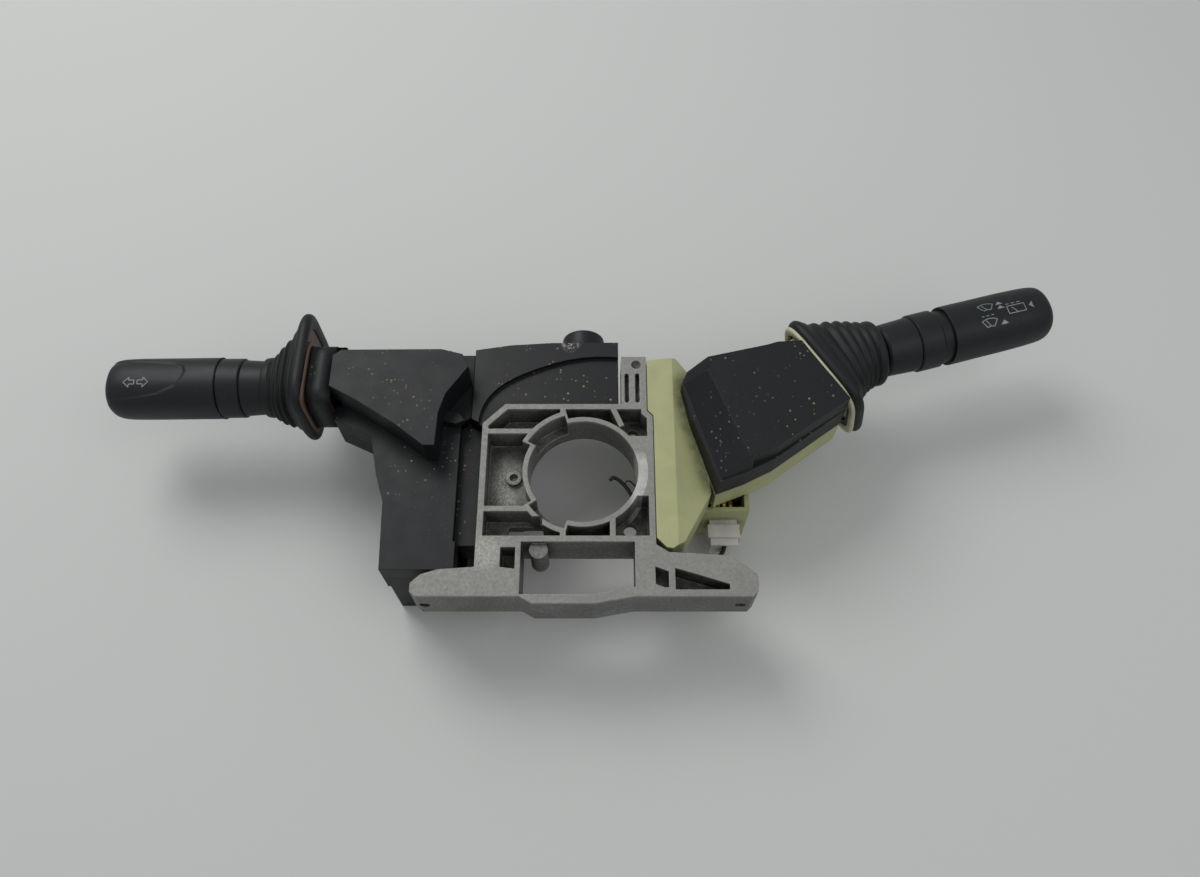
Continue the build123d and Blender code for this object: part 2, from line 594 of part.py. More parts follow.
def makeCradle(plane):
    """Turning cradle: hub on the upright pin, fork for the rocking pin, tail for the plunger."""
    with BuildPart() as cradle:
        add(stalkBox(plane, -6, 8, CRADLE_HALF, CRADLE_BOTTOM, CRADLE_TOP))
        for side in (-1, 1):
            with BuildSketch(plane.offset(-4)):
                with Locations(((8 + FORK_END) / 2, side * (EYE_HALF + 0.2 + FORK_WALL / 2))):
                    Rectangle(FORK_END - 8, FORK_WALL)
            extrude(amount=8)
        add(stalkBox(plane, TAIL_END, -6, TAIL_HALF, STALK_HEIGHT - TAIL_HALF, STALK_HEIGHT + TAIL_HALF))
        add(uprightPin(plane, PEG_U, 0, PEG_RADIUS, -1.2, STALK_HEIGHT - TAIL_HALF))
        add(uprightPin(plane, 0, 0, PIVOT_PIN_RADIUS + RUNNING_GAP, CRADLE_BOTTOM, CRADLE_TOP), mode=Mode.SUBTRACT)
        with BuildSketch(Plane(plane.from_local_coords((TAIL_END, 0, 0)), x_dir=plane.y_dir, z_dir=plane.x_dir)):
            Circle(PLUNGER_RADIUS + RUNNING_GAP)
        extrude(amount=11.5, mode=Mode.SUBTRACT)
        with BuildSketch(Plane(plane.from_local_coords((ROCK_PIN_U, -9, 0)), x_dir=plane.x_dir, z_dir=plane.y_dir)):
            Circle(ROCK_PIN_RADIUS + PRESS_GAP)
        extrude(amount=18, mode=Mode.SUBTRACT)
    return cradle


def makeRockPin(plane):
    """Cross pin in the cradle's fork."""
    half = EYE_HALF + 0.2 + FORK_WALL
    with BuildPart() as pin:
        with BuildSketch(Plane(plane.from_local_coords((ROCK_PIN_U, -half, 0)), x_dir=plane.x_dir, z_dir=plane.y_dir)):
            Circle(ROCK_PIN_RADIUS)
        extrude(amount=2 * half)
    return pin


def makePlunger(plane):
    """Sprung plunger with a rounded nose that runs over the detent track."""
    with BuildPart() as plunger:
        add(
            turned(
                plane,
                [
                    (PLUNGER_TIP, 0),
                    (PLUNGER_TIP, 0.7),
                    (PLUNGER_TIP + 0.7, 1.6),
                    (PLUNGER_TIP + 1.6, PLUNGER_RADIUS),
                    (PLUNGER_TIP + 8, PLUNGER_RADIUS),
                    (PLUNGER_TIP + 8, 0),
                ],
            )
        )
    return plunger


def makeTrack(plane, half):
    """Detent track with three shallow grooves, on the case wall behind the plunger."""
    inner = TRACK_GAP - PLUNGER_TIP
    with BuildPart() as track:
        with BuildSketch(plane.offset(-16.1)):
            with Locations((-(inner + 3.5) / 2 - 4, 0)):
                Rectangle(inner + 3.5 - 8, 2 * half)
            Circle(inner, mode=Mode.SUBTRACT)
            for turn in (-9, 0, 9):
                with Locations((-inner * cos(radians(turn)), -inner * sin(radians(turn)))):
                    Circle(GROOVE_RADIUS - 1.0, mode=Mode.SUBTRACT)
        extrude(amount=16.1 + TRACK_HALF)
    return track


def makeBoard(plane):
    """Contact board on the case floor."""
    with BuildPart() as board:
        add(stalkBox(plane, -17.0, -5.2, 8.0, CASE_FLOOR, CASE_FLOOR + BOARD_WALL - 0.4))
    return board


def makeSlider(plane):
    """Contact slider driven by the cradle's peg."""
    with BuildPart() as slider:
        add(stalkBox(plane, -15.5, -7.5, 4, CASE_FLOOR + BOARD_WALL - 0.1, 1.4))
        with BuildSketch(plane.offset(-20)):
            with Locations((PEG_U, 0)):
                SlotOverall(2 * PEG_RADIUS + 1.4, 2 * PEG_RADIUS + 0.2)
        extrude(amount=30, mode=Mode.SUBTRACT)
    return slider


def makePivotPin(plane):
    """Upright pin between base and cover."""
    with BuildPart() as pin:
        add(uprightPin(plane, 0, 0, PIVOT_PIN_RADIUS, PIN_BOTTOM, PIN_TOP))
    return pin


left_cradle = makeCradle(LEFT)
save(left_cradle, "left_cradle")
left_rock_pin = makeRockPin(LEFT)
save(left_rock_pin, "left_rock_pin")
left_detent_plunger = makePlunger(LEFT)
save(left_detent_plunger, "left_detent_plunger")
left_detent_track = makeTrack(LEFT, 8)
save(left_detent_track, "left_detent_track")
left_contact_board = makeBoard(LEFT)
save(left_contact_board, "left_contact_board")
left_contact_slider = makeSlider(LEFT)
save(left_contact_slider, "left_contact_slider")
left_pivot_pin = makePivotPin(LEFT)
save(left_pivot_pin, "left_pivot_pin")
right_cradle = makeCradle(RIGHT)
save(right_cradle, "right_cradle")
right_rock_pin = makeRockPin(RIGHT)
save(right_rock_pin, "right_rock_pin")
right_detent_plunger = makePlunger(RIGHT)
save(right_detent_plunger, "right_detent_plunger")
right_detent_track = makeTrack(RIGHT, 6)
save(right_detent_track, "right_detent_track")
right_contact_board = makeBoard(RIGHT)
save(right_contact_board, "right_contact_board")
right_contact_slider = makeSlider(RIGHT)
save(right_contact_slider, "right_contact_slider")
right_pivot_pin = makePivotPin(RIGHT)
save(right_pivot_pin, "right_pivot_pin")


# ================================================================ stalks
def makeArm(plane, neckStart, ringStart, ringEnd, spigotEnd):
    """Stalk arm: eye on the rocking pin, slim shaft, thick neck, spigot for ring and grip."""
    with BuildPart() as arm:
        add(
            turned(
                plane,
                [
                    (18.5, 0),
                    (18.5, SHAFT_RADIUS),
                    (neckStart - 0.5, SHAFT_RADIUS),
                    (neckStart, NECK_RADIUS - 0.8),
                    (neckStart + 1.0, NECK_RADIUS),
                    (ringStart - SEAM, NECK_RADIUS + 0.6),
                    (ringStart - SEAM, SPIGOT_RADIUS),
                    (spigotEnd, SPIGOT_RADIUS),
                    (spigotEnd, 0),
                ],
            )
        )
        with BuildSketch(Plane(plane.from_local_coords((0, -EYE_HALF, 0)), x_dir=plane.x_dir, z_dir=plane.y_dir)):
            with Locations((ROCK_PIN_U, 0)):
                Circle(4.0)
            with Locations((ROCK_PIN_U + 3.5, 0)):
                Rectangle(7.0, 8.0)
        extrude(amount=2 * EYE_HALF)
        with BuildSketch(Plane(plane.from_local_coords((ROCK_PIN_U, -9, 0)), x_dir=plane.x_dir, z_dir=plane.y_dir)):
            Circle(ROCK_PIN_RADIUS + RUNNING_GAP)
        extrude(amount=18, mode=Mode.SUBTRACT)
    return arm


def makeRing(plane, start, end):
    """Twisting ring on the spigot, with a shallow waist."""
    with BuildPart() as ring:
        add(
            turned(
                plane,
                [
                    (start, SPIGOT_RADIUS + RUNNING_GAP),
                    (start, RING_RADIUS - 0.5),
                    (start + 0.5, RING_RADIUS),
                    (end - SEAM - 0.5, RING_RADIUS),
                    (end - SEAM, RING_RADIUS - 0.5),
                    (end - SEAM, SPIGOT_RADIUS + RUNNING_GAP),
                ],
            )
        )
    return ring


left_arm = makeArm(LEFT, LEFT_NECK, LEFT_RING[0], LEFT_RING[1], 86.0)
save(left_arm, "left_arm")
left_ring = makeRing(LEFT, LEFT_RING[0], LEFT_RING[1])
save(left_ring, "left_ring")
with BuildPart() as left_grip:
    add(
        turned(
            LEFT,
            [
                (LEFT_RING[1], SPIGOT_RADIUS + PRESS_GAP),
                (LEFT_RING[1], RING_RADIUS),
                (LEFT_TIP - 3.0, GRIP_TIP_RADIUS),
                (LEFT_TIP - 0.8, GRIP_TIP_RADIUS - 1.2),
                (LEFT_TIP, GRIP_TIP_RADIUS - 4.0),
                (LEFT_TIP, 0),
                (88.0, 0),
                (88.0, SPIGOT_RADIUS + PRESS_GAP),
            ],
        )
    )
save(left_grip, "left_grip")

right_arm = makeArm(RIGHT, RIGHT_NECK, RIGHT_RING[0], RIGHT_RING[1], 100.0)
save(right_arm, "right_arm")
right_ring = makeRing(RIGHT, RIGHT_RING[0], RIGHT_RING[1])
save(right_ring, "right_ring")
with BuildPart() as right_spacer:
    add(
        turned(
            RIGHT,
            [
                (RIGHT_RING[1], SPIGOT_RADIUS + PRESS_GAP),
                (RIGHT_RING[1], 11.4),
                (90.0, 11.4),
                (90.0, SPIGOT_RADIUS + PRESS_GAP),
            ],
        )
    )
save(right_spacer, "right_spacer")
with BuildPart() as right_grip:
    add(
        turned(
            RIGHT,
            [
                (RIGHT_GRIP, 11.4 + RUNNING_GAP),
                (RIGHT_GRIP, RING_RADIUS),
                (RIGHT_TIP - 4.0, 10.9),
                (RIGHT_TIP - 1.0, 9.6),
                (RIGHT_TIP, 6.5),
                (RIGHT_TIP, 0),
                (104.0, 0),
                (104.0, SPIGOT_RADIUS + RUNNING_GAP),
                (94.0, SPIGOT_RADIUS + RUNNING_GAP),
                (94.0, 11.4 + RUNNING_GAP),
            ],
        )
    )
save(right_grip, "right_grip")


# ================================================================ collars and boots
def makeCollar(face, size, shift, outline):
    """Plate of a boot's flange with a throat that reaches back to the case."""
    with BuildPart() as collar:
        with BuildSketch(face):
            with Locations(shift):
                RectangleRounded(THROAT_WIDTH, THROAT_TALL, 5)
        extrude(amount=-16)
        add(prism(outline, REST_PLANE, BOX_HEIGHT, -SEAT_GAP), mode=Mode.SUBTRACT)
        with BuildSketch(face):
            RectangleRounded(size[0], size[1], 10)
        extrude(amount=PLATE_WALL)
        with BuildSketch(face.offset(PLATE_WALL)):
            with Locations(shift):
                RectangleRounded(THROAT_WIDTH - 2 * THROAT_WALL, THROAT_TALL - 2 * THROAT_WALL, 4)
        extrude(amount=-20, mode=Mode.SUBTRACT)
    return collar


def makeBootRoot(face, size, shift):
    """Rubber lip round the collar plate with the first fold of the boot."""
    front = PLATE_WALL + SEAT_GAP
    with BuildPart() as boot:
        with BuildSketch(face.offset(front)):
            RectangleRounded(size[0] + 7, size[1] + 7, 13)
        extrude(amount=2.0)
        with BuildSketch(face.offset(-1.0)):
            RectangleRounded(size[0] + 7, size[1] + 7, 13)
            RectangleRounded(size[0] + 2 * SEAT_GAP, size[1] + 2 * SEAT_GAP, 10, mode=Mode.SUBTRACT)
        extrude(amount=front + 1.5)
        with BuildSketch(face.offset(front + 1.9)):
            with Locations(shift):
                Circle(BOOT_HOLE + 5)
        with BuildSketch(face.offset(front + 5)):
            with Locations(shift):
                Circle(BOOT_HOLE + 2)
        loft()
        with BuildSketch(face):
            with Locations(shift):
                Circle(BOOT_HOLE)
        extrude(amount=12, mode=Mode.SUBTRACT)
    return boot


def makeCuff(plane, neckStart):
    """Rubber cuff of the boot on the stalk's shaft."""
    with BuildPart() as cuff:
        start = neckStart - 0.7 - CUFF_LENGTH
        add(
            turned(
                plane,
                [
                    (start, SHAFT_RADIUS + PRESS_GAP),
                    (start, 8.2),
                    (start + CUFF_LENGTH, 8.8),
                    (start + CUFF_LENGTH, SHAFT_RADIUS + PRESS_GAP),
                ],
            )
        )
    return cuff


left_collar = makeCollar(LEFT_FACE, LEFT_FLANGE_SIZE, LEFT_SHIFT, leftOutline)
save(left_collar, "left_collar")
left_boot = makeBootRoot(LEFT_FACE, LEFT_FLANGE_SIZE, LEFT_SHIFT)
save(left_boot, "left_boot")
left_boot_cuff = makeCuff(LEFT, LEFT_NECK)
save(left_boot_cuff, "left_boot_cuff")
right_collar = makeCollar(RIGHT_FACE, RIGHT_FLANGE_SIZE, RIGHT_SHIFT, boxOutline)
save(right_collar, "right_collar")
right_boot = makeBootRoot(RIGHT_FACE, RIGHT_FLANGE_SIZE, RIGHT_SHIFT)
save(right_boot, "right_boot")
right_boot_cuff = makeCuff(RIGHT, RIGHT_NECK)
save(right_boot_cuff, "right_boot_cuff")


# ================================================================ springs
def makeCoil(start, direction, length, turns, meanRadius, wireRadius):
    """Open coil spring from a start point along a direction."""
    with BuildPart() as coilSpring:
        with BuildLine():
            coil = Helix(
                pitch=(length - 2 * wireRadius) / turns,
                height=length - 2 * wireRadius,
                radius=meanRadius,
                center=start,
                direction=direction,
            )
        with BuildSketch(Plane(coil @ 0, z_dir=coil % 0)):
            RegularPolygon(wireRadius, 6)
        sweep(is_frenet=True)
    return coilSpring


left_detent_spring = makeCoil(LEFT.from_local_coords((-5.2, 0, 0)), -LEFT.x_dir, 5.6, 4, 1.4, 0.3)
save(left_detent_spring, "left_detent_spring")
right_detent_spring = makeCoil(RIGHT.from_local_coords((-5.2, 0, 0)), -RIGHT.x_dir, 5.6, 4, 1.4, 0.3)
save(right_detent_spring, "right_detent_spring")
hazard_spring = makeCoil(Vector(HAZARD_X, 46.2, HAZARD_Z - 1.3), Vector(0, 1, 0), 12.2, 5, 4.4, 0.5)
save(hazard_spring, "hazard_spring")


# ================================================================ screws under the bracket
def makeScrew(x, y):
    """Screw that holds a module's tongue to the bracket's rear face."""
    with BuildPart() as screw:
        with BuildSketch(Plane.XY.offset(-2.6 - 1.9)):
            with Locations((x, y)):
                Circle(2.9)
        extrude(amount=1.8)
        with BuildSketch(Plane.XY.offset(-3.0)):
            with Locations((x, y)):
                Circle(SCREW_RADIUS)
        extrude(amount=3.0 + SCREW_DEPTH - 0.2)
    return screw


left_screw_north = makeScrew(*LEFT_SCREWS[0])
save(left_screw_north, "left_screw_north")
left_screw_south = makeScrew(*LEFT_SCREWS[1])
save(left_screw_south, "left_screw_south")
right_screw_north = makeScrew(*RIGHT_SCREWS[0])
save(right_screw_north, "right_screw_north")
right_screw_south = makeScrew(*RIGHT_SCREWS[1])
save(right_screw_south, "right_screw_south")

# ================================================================ terminals, connector and leads
with BuildPart() as left_terminals:
    with BuildSketch(Plane.XY.offset(-22.0)):
        with Locations((-62.0, -24.0)):
            Rectangle(26.0, 7.0)
    extrude(amount=3.0)
    with BuildSketch(Plane.XY.offset(-29.0)):
        with Locations((-61.5, -24.0)):
            with GridLocations(5.0, 4.0, 4, 2):
                Rectangle(2.2, 0.8)
    extrude(amount=7.5)
save(left_terminals, "left_terminals")

with BuildPart() as right_terminals:
    with BuildSketch(Plane.XY.offset(REST_PLANE + CASE_WALL)):
        with Locations((59.0, 1.0)):
            Rectangle(16.0, 3.0)
    extrude(amount=17.0)
    with BuildSketch(Plane((59.0, 0.0, -20.0), x_dir=(1, 0, 0), z_dir=(0, -1, 0))):
        with GridLocations(2.6, 4.0, 4, 2):
            Rectangle(1.4, 0.8)
    extrude(amount=2.6)
save(right_terminals, "right_terminals")

with BuildPart() as connector_plug:
    with BuildSketch(Plane((59.0, -3.2, -20.0), x_dir=(1, 0, 0), z_dir=(0, -1, 0))):
        Rectangle(11.6, 9.6)
    extrude(amount=16.8)
    with BuildSketch(Plane((59.0, -10.8, -20.0), x_dir=(1, 0, 0), z_dir=(0, -1, 0))):
        with Locations((0, 0)):
            Rectangle(13.4, 10.8)
    extrude(amount=6.0)
    with BuildSketch(Plane((59.0, -20.0, -20.0), x_dir=(1, 0, 0), z_dir=(0, -1, 0))):
        with Locations(*[(0, step) for step in LEAD_OFFSETS]):
            Circle(LEAD_RADIUS + 0.3)
    extrude(amount=-6.0, mode=Mode.SUBTRACT)
save(connector_plug, "connector_plug")


def makeLead(lift):
    """Lead from the connector plug, under the bracket, to the left base."""
    with BuildPart() as lead:
        with BuildLine():
            path = Spline(
                (59.0, -18.2, -20.0 + lift),
                (58.7, -21.4, -19.9 + lift),
                (44.0, -27.5, -15.0 + lift),
                (19.0, -23.0, -10.0 + lift),
                (-4.0, -26.0, -9.5 + lift),
                (-26.0, -24.0, -10.0 + lift),
                (-45.5, -23.5, -12.0 + lift),
            )
        with BuildSketch(Plane(path @ 0, z_dir=path % 0)):
            Circle(LEAD_RADIUS)
        sweep()
    return lead


lead_red = makeLead(LEAD_OFFSETS[0])
save(lead_red, "lead_red")
lead_white = makeLead(LEAD_OFFSETS[1])
save(lead_white, "lead_white")
lead_black = makeLead(LEAD_OFFSETS[2])
save(lead_black, "lead_black")

# ================================================================ cancelling pawl
with BuildPart() as cancel_pawl:
    with BuildSketch(Plane((-56.4, 23.7, 15.2), x_dir=(cos(radians(-15.3)), sin(radians(-15.3)), 0), z_dir=(0, 0, 1))):
        Polygon((-9, -2.5), (5, -2.5), (8.2, 0), (5, 2.5), (-9, 2.5), align=None)
    extrude(amount=3.0)
save(cancel_pawl, "cancel_pawl")
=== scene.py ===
import bpy
import json
import numpy
from math import cos, pi, radians, sin
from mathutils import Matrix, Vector


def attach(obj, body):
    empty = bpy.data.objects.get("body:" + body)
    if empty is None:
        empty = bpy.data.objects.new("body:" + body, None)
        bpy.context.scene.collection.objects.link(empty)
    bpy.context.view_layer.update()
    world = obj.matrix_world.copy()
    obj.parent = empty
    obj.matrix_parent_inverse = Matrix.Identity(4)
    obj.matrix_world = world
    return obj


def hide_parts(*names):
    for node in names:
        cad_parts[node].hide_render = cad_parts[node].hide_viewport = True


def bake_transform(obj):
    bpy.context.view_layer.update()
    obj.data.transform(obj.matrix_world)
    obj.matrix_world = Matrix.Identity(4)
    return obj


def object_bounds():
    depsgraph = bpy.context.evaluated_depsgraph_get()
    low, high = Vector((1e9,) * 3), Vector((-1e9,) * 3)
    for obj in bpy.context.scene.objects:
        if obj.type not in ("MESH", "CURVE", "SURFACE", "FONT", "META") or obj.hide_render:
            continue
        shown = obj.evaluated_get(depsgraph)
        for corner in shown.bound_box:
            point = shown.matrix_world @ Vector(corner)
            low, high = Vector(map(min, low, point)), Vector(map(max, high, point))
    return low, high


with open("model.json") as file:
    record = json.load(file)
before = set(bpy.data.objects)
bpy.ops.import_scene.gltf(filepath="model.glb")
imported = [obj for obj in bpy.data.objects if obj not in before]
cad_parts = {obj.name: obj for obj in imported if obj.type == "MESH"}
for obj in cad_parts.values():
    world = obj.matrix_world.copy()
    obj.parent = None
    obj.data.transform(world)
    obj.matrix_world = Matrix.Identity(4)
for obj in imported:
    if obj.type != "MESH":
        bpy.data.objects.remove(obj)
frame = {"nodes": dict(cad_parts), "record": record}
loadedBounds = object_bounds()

nodes = frame["nodes"]
mm = 0.001
scene = bpy.context.scene

# view, floor and light
cameraData = bpy.data.cameras.new("viewCamera")
cameraData.sensor_width = 36.0
cameraData.lens = 29.4
viewCamera = bpy.data.objects.new("viewCamera", cameraData)
scene.collection.objects.link(viewCamera)
viewCamera.location = (0.0068, -0.16663, 0.37105)
viewCamera.rotation_euler = (radians(27.0), 0.0, 0.0)
scene.camera = viewCamera
scene.view_settings.view_transform = "Standard"

floorSize = 2.0
floorLevel = loadedBounds[0][2] - 0.2 * mm
floorMesh = bpy.data.meshes.new("floor")
floorCorners = [(x * floorSize, y * floorSize, floorLevel) for x, y in ((-1, -1), (1, -1), (1, 1), (-1, 1))]
floorMesh.from_pydata(floorCorners, [], [(0, 1, 2, 3)])
floor = bpy.data.objects.new("floor", floorMesh)
scene.collection.objects.link(floor)
floorMaterial = bpy.data.materials.new("paleFloor")
floorMaterial.use_nodes = True
floorSurface = floorMaterial.node_tree.nodes["Principled BSDF"]
floorSurface.inputs["Base Color"].default_value = (0.55, 0.555, 0.54, 1)
floorSurface.inputs["Roughness"].default_value = 0.9
floorMesh.materials.append(floorMaterial)

world = bpy.data.worlds.new("softWorld")
world.use_nodes = True
world.node_tree.nodes["Background"].inputs["Color"].default_value = (0.95, 0.98, 1, 1)
world.node_tree.nodes["Background"].inputs["Strength"].default_value = 0.46
scene.world = world


def areaLight(name, location, size, power):
    data = bpy.data.lights.new(name, "AREA")
    data.size = size
    data.energy = power
    light = bpy.data.objects.new(name, data)
    light.location = location
    light.rotation_euler = (-Vector(location)).to_track_quat("-Z", "Y").to_euler()
    scene.collection.objects.link(light)
    return light


keyLight = areaLight("keyLight", (-0.45, 0.55, 0.85), 0.55, 5.6)
fillLight = areaLight("fillLight", (0.5, -0.3, 0.9), 0.7, 1.8)
print("camera, floor and light")


# shader trees
class Tree:
    def __init__(self, tree):
        self.tree = tree

    def node(self, kind, **settings):
        made = self.tree.nodes.new(kind)
        for name, value in settings.items():
            setattr(made, name, value)
        return made

    def put(self, socket, value):
        if isinstance(value, bpy.types.NodeSocket):
            self.tree.links.new(value, socket)
        elif value is not None:
            socket.default_value = value

    def math(self, operation, first, second=None, clamp=False):
        made = self.node("ShaderNodeMath", operation=operation, use_clamp=clamp)
        self.put(made.inputs[0], first)
        self.put(made.inputs[1], second)
        return made.outputs[0]

    def ramp(self, value, low, high, newLow=0.0, newHigh=1.0):
        made = self.node("ShaderNodeMapRange", interpolation_type="SMOOTHSTEP")
        for name, number in (("Value", value), ("From Min", low), ("From Max", high)):
            self.put(made.inputs[name], number)
        self.put(made.inputs["To Min"], newLow)
        self.put(made.inputs["To Max"], newHigh)
        return made.outputs["Result"]

    def mix(self, factor, first, second, blend="MIX"):
        made = self.node("ShaderNodeMix", data_type="RGBA", blend_type=blend)
        for index, value in ((0, factor), (6, first), (7, second)):
            self.put(made.inputs[index], value)
        return made.outputs[2]

    def noise(self, vector, scale, detail=3.0, roughness=0.55):
        made = self.node("ShaderNodeTexNoise")
        for name, value in (("Vector", vector), ("Scale", scale), ("Detail", detail), ("Roughness", roughness)):
            self.put(made.inputs[name], value)
        return made.outputs["Fac"]

    def places(self):
        return self.node("ShaderNodeTexCoord").outputs["Object"]

    def use(self, group, **values):
        made = self.node("ShaderNodeGroup", node_tree=group)
        for name, value in values.items():
            self.put(made.inputs[name], value)
        return made.outputs[0]


def newGroup(name, inputs, output, outputKind):
    group = bpy.data.node_groups.new(name, "ShaderNodeTree")
    for label, value in inputs:
        socket = group.interface.new_socket(name=label, in_out="INPUT", socket_type="NodeSocketFloat")
        socket.default_value = value
    group.interface.new_socket(name=output, in_out="OUTPUT", socket_type=outputKind)
    return Tree(group), group.nodes.new("NodeGroupInput").outputs, group.nodes.new("NodeGroupOutput").inputs[0], group


def makeEdgeWearAndHighlight():
    # mask of the outer edges, broken up by noise: rubbed wear on the plastics, a painted highlight on the casting's
    # edges
    inputs = [("Width", 0.0005), ("Amount", 1.0)]
    tree, entry, result, group = newGroup("edgeWearAndHighlight", inputs, "Mask", "NodeSocketFloat")
    bevel = tree.node("ShaderNodeBevel", samples=6)
    tree.put(bevel.inputs["Radius"], entry["Width"])
    facing = tree.node("ShaderNodeVectorMath", operation="DOT_PRODUCT")
    tree.put(facing.inputs[0], bevel.outputs["Normal"])
    tree.put(facing.inputs[1], tree.node("ShaderNodeNewGeometry").outputs["Normal"])
    edge = tree.ramp(facing.outputs["Value"], 0.995, 0.86)
    broken = tree.ramp(tree.noise(tree.places(), 420.0, 4.0), 0.36, 0.6, 0.15, 1.0)
    mask = tree.math("MULTIPLY", edge, broken)
    tree.put(result, tree.math("MULTIPLY", mask, entry["Amount"], clamp=True))
    return group


def makeSpecks():
    # small dust specks in clusters, on faces that look up
    inputs = [("Amount", 0.5), ("Scale", 620.0)]
    tree, entry, result, group = newGroup("dustSpecks", inputs, "Mask", "NodeSocketFloat")
    places = tree.places()
    cells = tree.node("ShaderNodeTexVoronoi")
    tree.put(cells.inputs["Vector"], places)
    tree.put(cells.inputs["Scale"], entry["Scale"])
    chance = tree.node("ShaderNodeSeparateColor")
    tree.put(chance.inputs[0], cells.outputs["Color"])
    size = tree.ramp(chance.outputs[0], 0.55, 1.0, 0.0, 0.30)
    dot = tree.math("GREATER_THAN", size, cells.outputs["Distance"])
    cluster = tree.ramp(tree.noise(places, 38.0, 3.0, 0.6), 0.46, 0.62, 0.04, 1.0)
    normal = tree.node("ShaderNodeSeparateXYZ")
    tree.put(normal.inputs[0], tree.node("ShaderNodeNewGeometry").outputs["Normal"])
    upward = tree.ramp(normal.outputs["Z"], 0.3, 0.95)
    mask = tree.math("MULTIPLY", tree.math("MULTIPLY", dot, cluster), upward)
    tree.put(result, tree.math("MULTIPLY", mask, entry["Amount"], clamp=True))
    return group


def makeCornerShadeAndDirt():
    # painted shade that gathers in corners and hollows, mixed with a film of dirt, patchy
    inputs = [("Amount", 0.5), ("Reach", 0.006)]
    tree, entry, result, group = newGroup("cornerShadeAndDirt", inputs, "Mask", "NodeSocketFloat")
    corner = tree.node("ShaderNodeAmbientOcclusion", samples=6)
    tree.put(corner.inputs["Distance"], entry["Reach"])
    hollow = tree.ramp(corner.outputs["AO"], 0.95, 0.4)
    patchy = tree.ramp(tree.noise(tree.places(), 180.0, 5.0, 0.7), 0.35, 0.65, 0.25, 1.0)
    mask = tree.math("MULTIPLY", hollow, patchy)
    tree.put(result, tree.math("MULTIPLY", mask, entry["Amount"], clamp=True))
    return group


def makeScratches():
    # faint hairlines in two directions
    tree, entry, result, group = newGroup("hairlines", [("Amount", 0.5)], "Mask", "NodeSocketFloat")
    places = tree.places()
    lines = None
    for turn, stretch in ((0.5, 18.0), (2.1, 24.0)):
        mapping = tree.node("ShaderNodeMapping")
        tree.put(mapping.inputs["Vector"], places)
        mapping.inputs["Rotation"].default_value = (0.0, 0.0, turn)
        mapping.inputs["Scale"].default_value = (1.0, stretch, stretch)
        streak = tree.ramp(tree.noise(mapping.outputs[0], 90.0, 2.0, 0.5), 0.70, 0.74)
        lines = streak if lines is None else tree.math("MAXIMUM", lines, streak)
    where = tree.ramp(tree.noise(places, 55.0, 2.0), 0.5, 0.65)
    tree.put(result, tree.math("MULTIPLY", tree.math("MULTIPLY", lines, where), entry["Amount"], clamp=True))
    return group


def makeGrain():
    # fine moulded grain over softened edges
    inputs = [("Scale", 2600.0), ("Strength", 0.12), ("Radius", 0.0004)]
    tree, entry, result, group = newGroup("mouldedGrain", inputs, "Normal", "NodeSocketVector")
    cells = tree.node("ShaderNodeTexVoronoi")
    tree.put(cells.inputs["Vector"], tree.places())
    tree.put(cells.inputs["Scale"], entry["Scale"])
    rounded = tree.node("ShaderNodeBevel", samples=5)
    tree.put(rounded.inputs["Radius"], entry["Radius"])
    bump = tree.node("ShaderNodeBump")
    bump.inputs["Distance"].default_value = 0.0001
    tree.put(bump.inputs["Strength"], entry["Strength"])
    tree.put(bump.inputs["Height"], cells.outputs["Distance"])
    tree.put(bump.inputs["Normal"], rounded.outputs["Normal"])
    tree.put(result, bump.outputs["Normal"])
    return group


edgeWearAndHighlight = makeEdgeWearAndHighlight()
dustSpecks = makeSpecks()
cornerShadeAndDirt = makeCornerShadeAndDirt()
hairlines = makeScratches()
mouldedGrain = makeGrain()


def newMaterial(name):
    material = bpy.data.materials.new(name)
    material.use_nodes = True
    tree = Tree(material.node_tree)
    return material, tree, material.node_tree.nodes["Principled BSDF"].inputs, tree.places()


def shade(colour, factor):
    return tuple(channel * factor for channel in colour[:3]) + (1,)


plasticDefaults = {
    "roughness": 0.45,
    "specks": 0.3,
    "wear": 0.3,
    "grain": 0.1,
    "mottle": 0.15,
    "dirt": 0.4,
    "dirtColour": (0.004, 0.004, 0.004, 1),
    "speckColour": (0.26, 0.225, 0.13, 1),
    "scratch": 0.15,
    "specular": 0.3,
    "scuff": None,
}


